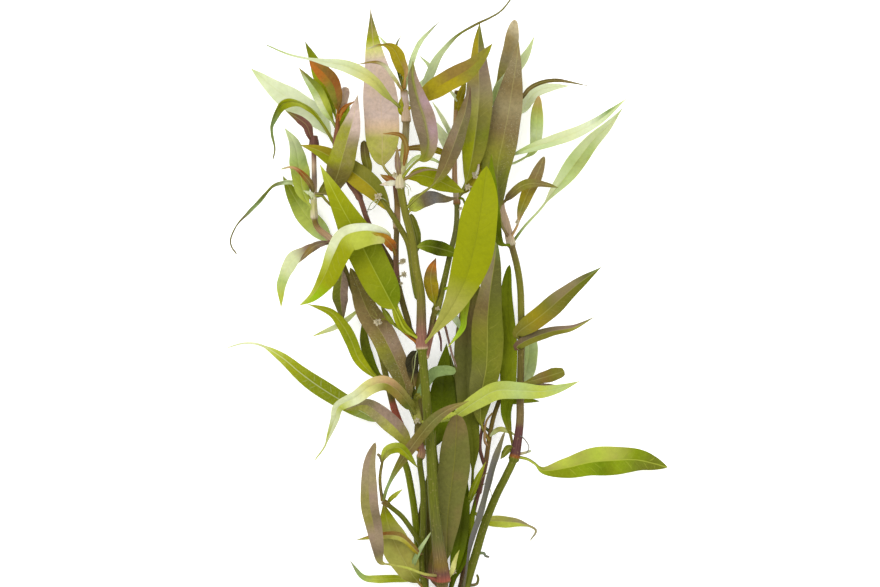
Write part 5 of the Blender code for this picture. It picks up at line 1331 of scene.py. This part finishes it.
class BunchStage(bpy.types.PropertyGroup):
    """Camera and light."""

    view_width: length_value("View width", "Width of the picture in the bunch's plane", 0.308)
    view_across: number_value("View middle across", "Middle of the picture across", -0.0026, "LENGTH")
    view_along: number_value("View middle along", "Middle of the picture along", 0.011, "LENGTH")
    camera_height: length_value("Camera height", "Height of the camera over the sharpest plane", 6.0)
    plane_height: length_value("Plane height", "Height of the plane that the view width is taken in", 0.018)
    floor_width: length_value("Floor width", "Width of the pale floor", 3.0)
    floor_glow: number_value("Floor glow", "Light that the lit floor gives off itself", 0.35)
    sky: number_value("Sky", "Strength of the even light from all round", 0.92)
    key: number_value("Key", "Power of the large soft light", 14.0, "POWER")
    fill: number_value("Fill", "Power of the soft light from the right", 6.0, "POWER")


class BunchOperator(bpy.types.Operator):
    """Base of the steps that make the bunch."""

    bl_options = {"REGISTER", "UNDO"}


class RegionOperator(BunchOperator):
    """Base of the steps that make one region's full-size leaves, each in place of its solid."""

    leaves = ()
    seed = 0

    def execute(self, context):
        for number, leaf in enumerate(self.leaves):
            skin = leaf_skin(leaf, LEAF_RINGS, HALF_STEPS, STEMS, self.seed + number)
            make_piece(leaf.name + "_blade", [skin], "leaf_" + leaf.colour, [leaf.name])
        return {"FINISHED"}


class BUNCH_OT_stems(BunchOperator):
    """Make the round stems with their nodes and cut ends"""

    bl_idname = "bunch.stems"
    bl_label = "Stems"

    def execute(self, context):
        for stem in STEMS:
            make_piece(stem.name + "_stalk", [stem_skin(stem)], stem.colour, [stem.name])
        return {"FINISHED"}


class BUNCH_OT_young_leaves(BunchOperator):
    """Make the young leaves that grow from each stem"""

    bl_idname = "bunch.young_leaves"
    bl_label = "Young leaves"

    def execute(self, context):
        for stem in STEMS:
            young = [leaf for leaf in YOUNG if leaf.stem == stem.name]
            if young:
                skins = [leaf_skin(leaf, YOUNG_RINGS, HALF_STEPS, [stem], YOUNG_SEED + YOUNG.index(leaf))
                         for leaf in young]
                make_piece(stem.name + "_young_leaves", skins, "leaf_" + young[0].colour)
        return {"FINISHED"}


class BUNCH_OT_upper_left_leaves(RegionOperator):
    """Make the leaves of the upper left shoot and the far left"""

    bl_idname = "bunch.upper_left_leaves"
    bl_label = "Upper left leaves"
    leaves = UPPER_LEFT
    seed = 100


class BUNCH_OT_left_leaves(RegionOperator):
    """Make the leaves left of the main stem"""

    bl_idname = "bunch.left_leaves"
    bl_label = "Left leaves"
    leaves = LEFT_SIDE
    seed = 150


class BUNCH_OT_crown_leaves(RegionOperator):
    """Make the leaves of the crown"""

    bl_idname = "bunch.crown_leaves"
    bl_label = "Crown leaves"
    leaves = CROWN
    seed = 200


class BUNCH_OT_right_leaves(RegionOperator):
    """Make the leaves of the right side and the middle"""

    bl_idname = "bunch.right_leaves"
    bl_label = "Right leaves"
    leaves = RIGHT_SIDE
    seed = 250


class BUNCH_OT_lower_leaves(RegionOperator):
    """Make the leaves of the lower middle and the foot"""

    bl_idname = "bunch.lower_leaves"
    bl_label = "Lower leaves"
    leaves = LOWER_MIDDLE
    seed = 300


class BUNCH_OT_slivers(BunchOperator):
    """Make the slivers and small torn leaves"""

    bl_idname = "bunch.slivers"
    bl_label = "Slivers"

    def execute(self, context):
        make_piece("leaf_slivers", [leaf_skin(leaf, SLIVER_RINGS, SLIVER_STEPS, STEMS, SLIVER_SEED + number)
                                    for number, leaf in enumerate(SLIVERS)], "leaf_yellow")
        return {"FINISHED"}


class BUNCH_OT_threads(BunchOperator):
    """Make the roots, dry threads and flower stalks"""

    bl_idname = "bunch.threads"
    bl_label = "Threads"

    def execute(self, context):
        make_piece("threads", [strand_skin(strand) for strand in STRANDS], "stem_brown")
        return {"FINISHED"}


class BUNCH_OT_dried_flowers(BunchOperator):
    """Make the small dried flower heads"""

    bl_idname = "bunch.dried_flowers"
    bl_label = "Dried flowers"

    def execute(self, context):
        skins = []
        for number, head in enumerate(FLOWER_HEADS):
            skins += bract_skins(*head, FLOWER_SEED + number)
        make_piece("dried_flowers", skins, "stem_brown")
        return {"FINISHED"}


class BUNCH_OT_tie(BunchOperator):
    """Make the soft tie round the foot"""

    bl_idname = "bunch.tie"
    bl_label = "Tie"

    def execute(self, context):
        make_piece("tie_band", [tie_skin()], "tie", ["tie"])
        return {"FINISHED"}


def add_object(name, data, place=(0, 0, 0)):
    """A linked object at that place."""
    item = bpy.data.objects.new(name, data)
    item.location = place
    bpy.context.scene.collection.objects.link(item)
    return item


def soft_light(name, power, place):
    """A large square light that looks at the origin."""
    light = bpy.data.lights.new(name, "AREA")
    light.energy = power
    light.size = LIGHT_WIDTH
    item = add_object(name, light, place)
    item.rotation_euler = (-item.location).to_track_quat("-Z", "Y").to_euler()
    item.visible_camera = False


class BUNCH_OT_stage(BunchOperator):
    """Make the floor, the light and the camera that looks straight down"""

    bl_idname = "bunch.stage"
    bl_label = "Stage"

    def execute(self, context):
        stage = context.scene.bunch_stage
        reach = stage.floor_width / 2
        mesh = bpy.data.meshes.new("floor")
        mesh.from_pydata([(-reach, -reach, 0), (reach, -reach, 0), (reach, reach, 0), (-reach, reach, 0)],
                         [], [(0, 1, 2, 3)])
        made = Finish("floor_white")
        made.feed(made.shader, {"Base Color": FLOOR_WHITE, "Roughness": 0.9,
                                "Specular IOR Level": 0.1, "Emission Color": WHITE,
                                "Emission Strength": stage.floor_glow})
        mesh.materials.append(made.material)
        floor = add_object("floor", mesh)

        world = bpy.data.worlds.new("studio")
        world.use_nodes = True
        sky = world.node_tree.nodes["Background"]
        sky.inputs["Color"].default_value = WHITE
        sky.inputs["Strength"].default_value = stage.sky
        context.scene.world = world
        soft_light("key", stage.key, KEY_PLACE)
        soft_light("fill", stage.fill, FILL_PLACE)

        camera = bpy.data.cameras.new("camera")
        camera.sensor_width = SENSOR_WIDTH
        camera.lens = camera.sensor_width * stage.camera_height / stage.view_width
        camera.clip_end = SIGHT
        context.scene.camera = add_object("camera", camera, (stage.view_across, stage.view_along,
                                                             stage.plane_height + stage.camera_height))
        context.scene.view_settings.view_transform = "Standard"
        context.scene.view_settings.look = "None"
        return {"FINISHED"}


class BUNCH_PT_panel(bpy.types.Panel):
    """The bunch's steps in the sidebar of the 3D view"""

    bl_idname = "BUNCH_PT_panel"
    bl_label = "Plant bunch"
    bl_space_type = "VIEW_3D"
    bl_region_type = "UI"
    bl_category = "Plant bunch"

    def draw(self, context):
        for step in STEPS:
            self.layout.operator(step.bl_idname)
        for name, kind in GROUPS.items():
            box = self.layout.box()
            for value in kind.__annotations__:
                box.prop(getattr(context.scene, name), value)


STEPS = (BUNCH_OT_stems, BUNCH_OT_young_leaves, BUNCH_OT_upper_left_leaves, BUNCH_OT_left_leaves,
         BUNCH_OT_crown_leaves, BUNCH_OT_right_leaves, BUNCH_OT_lower_leaves, BUNCH_OT_slivers,
         BUNCH_OT_threads, BUNCH_OT_dried_flowers, BUNCH_OT_tie, BUNCH_OT_stage)
GROUPS = {"bunch_tones": BunchTones, "bunch_shape": BunchShape, "bunch_stage": BunchStage}
CLASSES = (*GROUPS.values(), *STEPS, BUNCH_PT_panel)


def register():
    for kind in CLASSES:
        bpy.utils.register_class(kind)
    for name, kind in GROUPS.items():
        setattr(bpy.types.Scene, name, bpy.props.PointerProperty(type=kind))


def unregister():
    for name in GROUPS:
        delattr(bpy.types.Scene, name)
    for kind in reversed(CLASSES):
        bpy.utils.unregister_class(kind)


def main():
    register()
    for step in STEPS:
        category, name = step.bl_idname.split(".")
        if getattr(getattr(bpy.ops, category), name)() != {"FINISHED"}:
            raise RuntimeError(f"the step {step.bl_label} didn't finish")


if __name__ == "__main__":
    main()
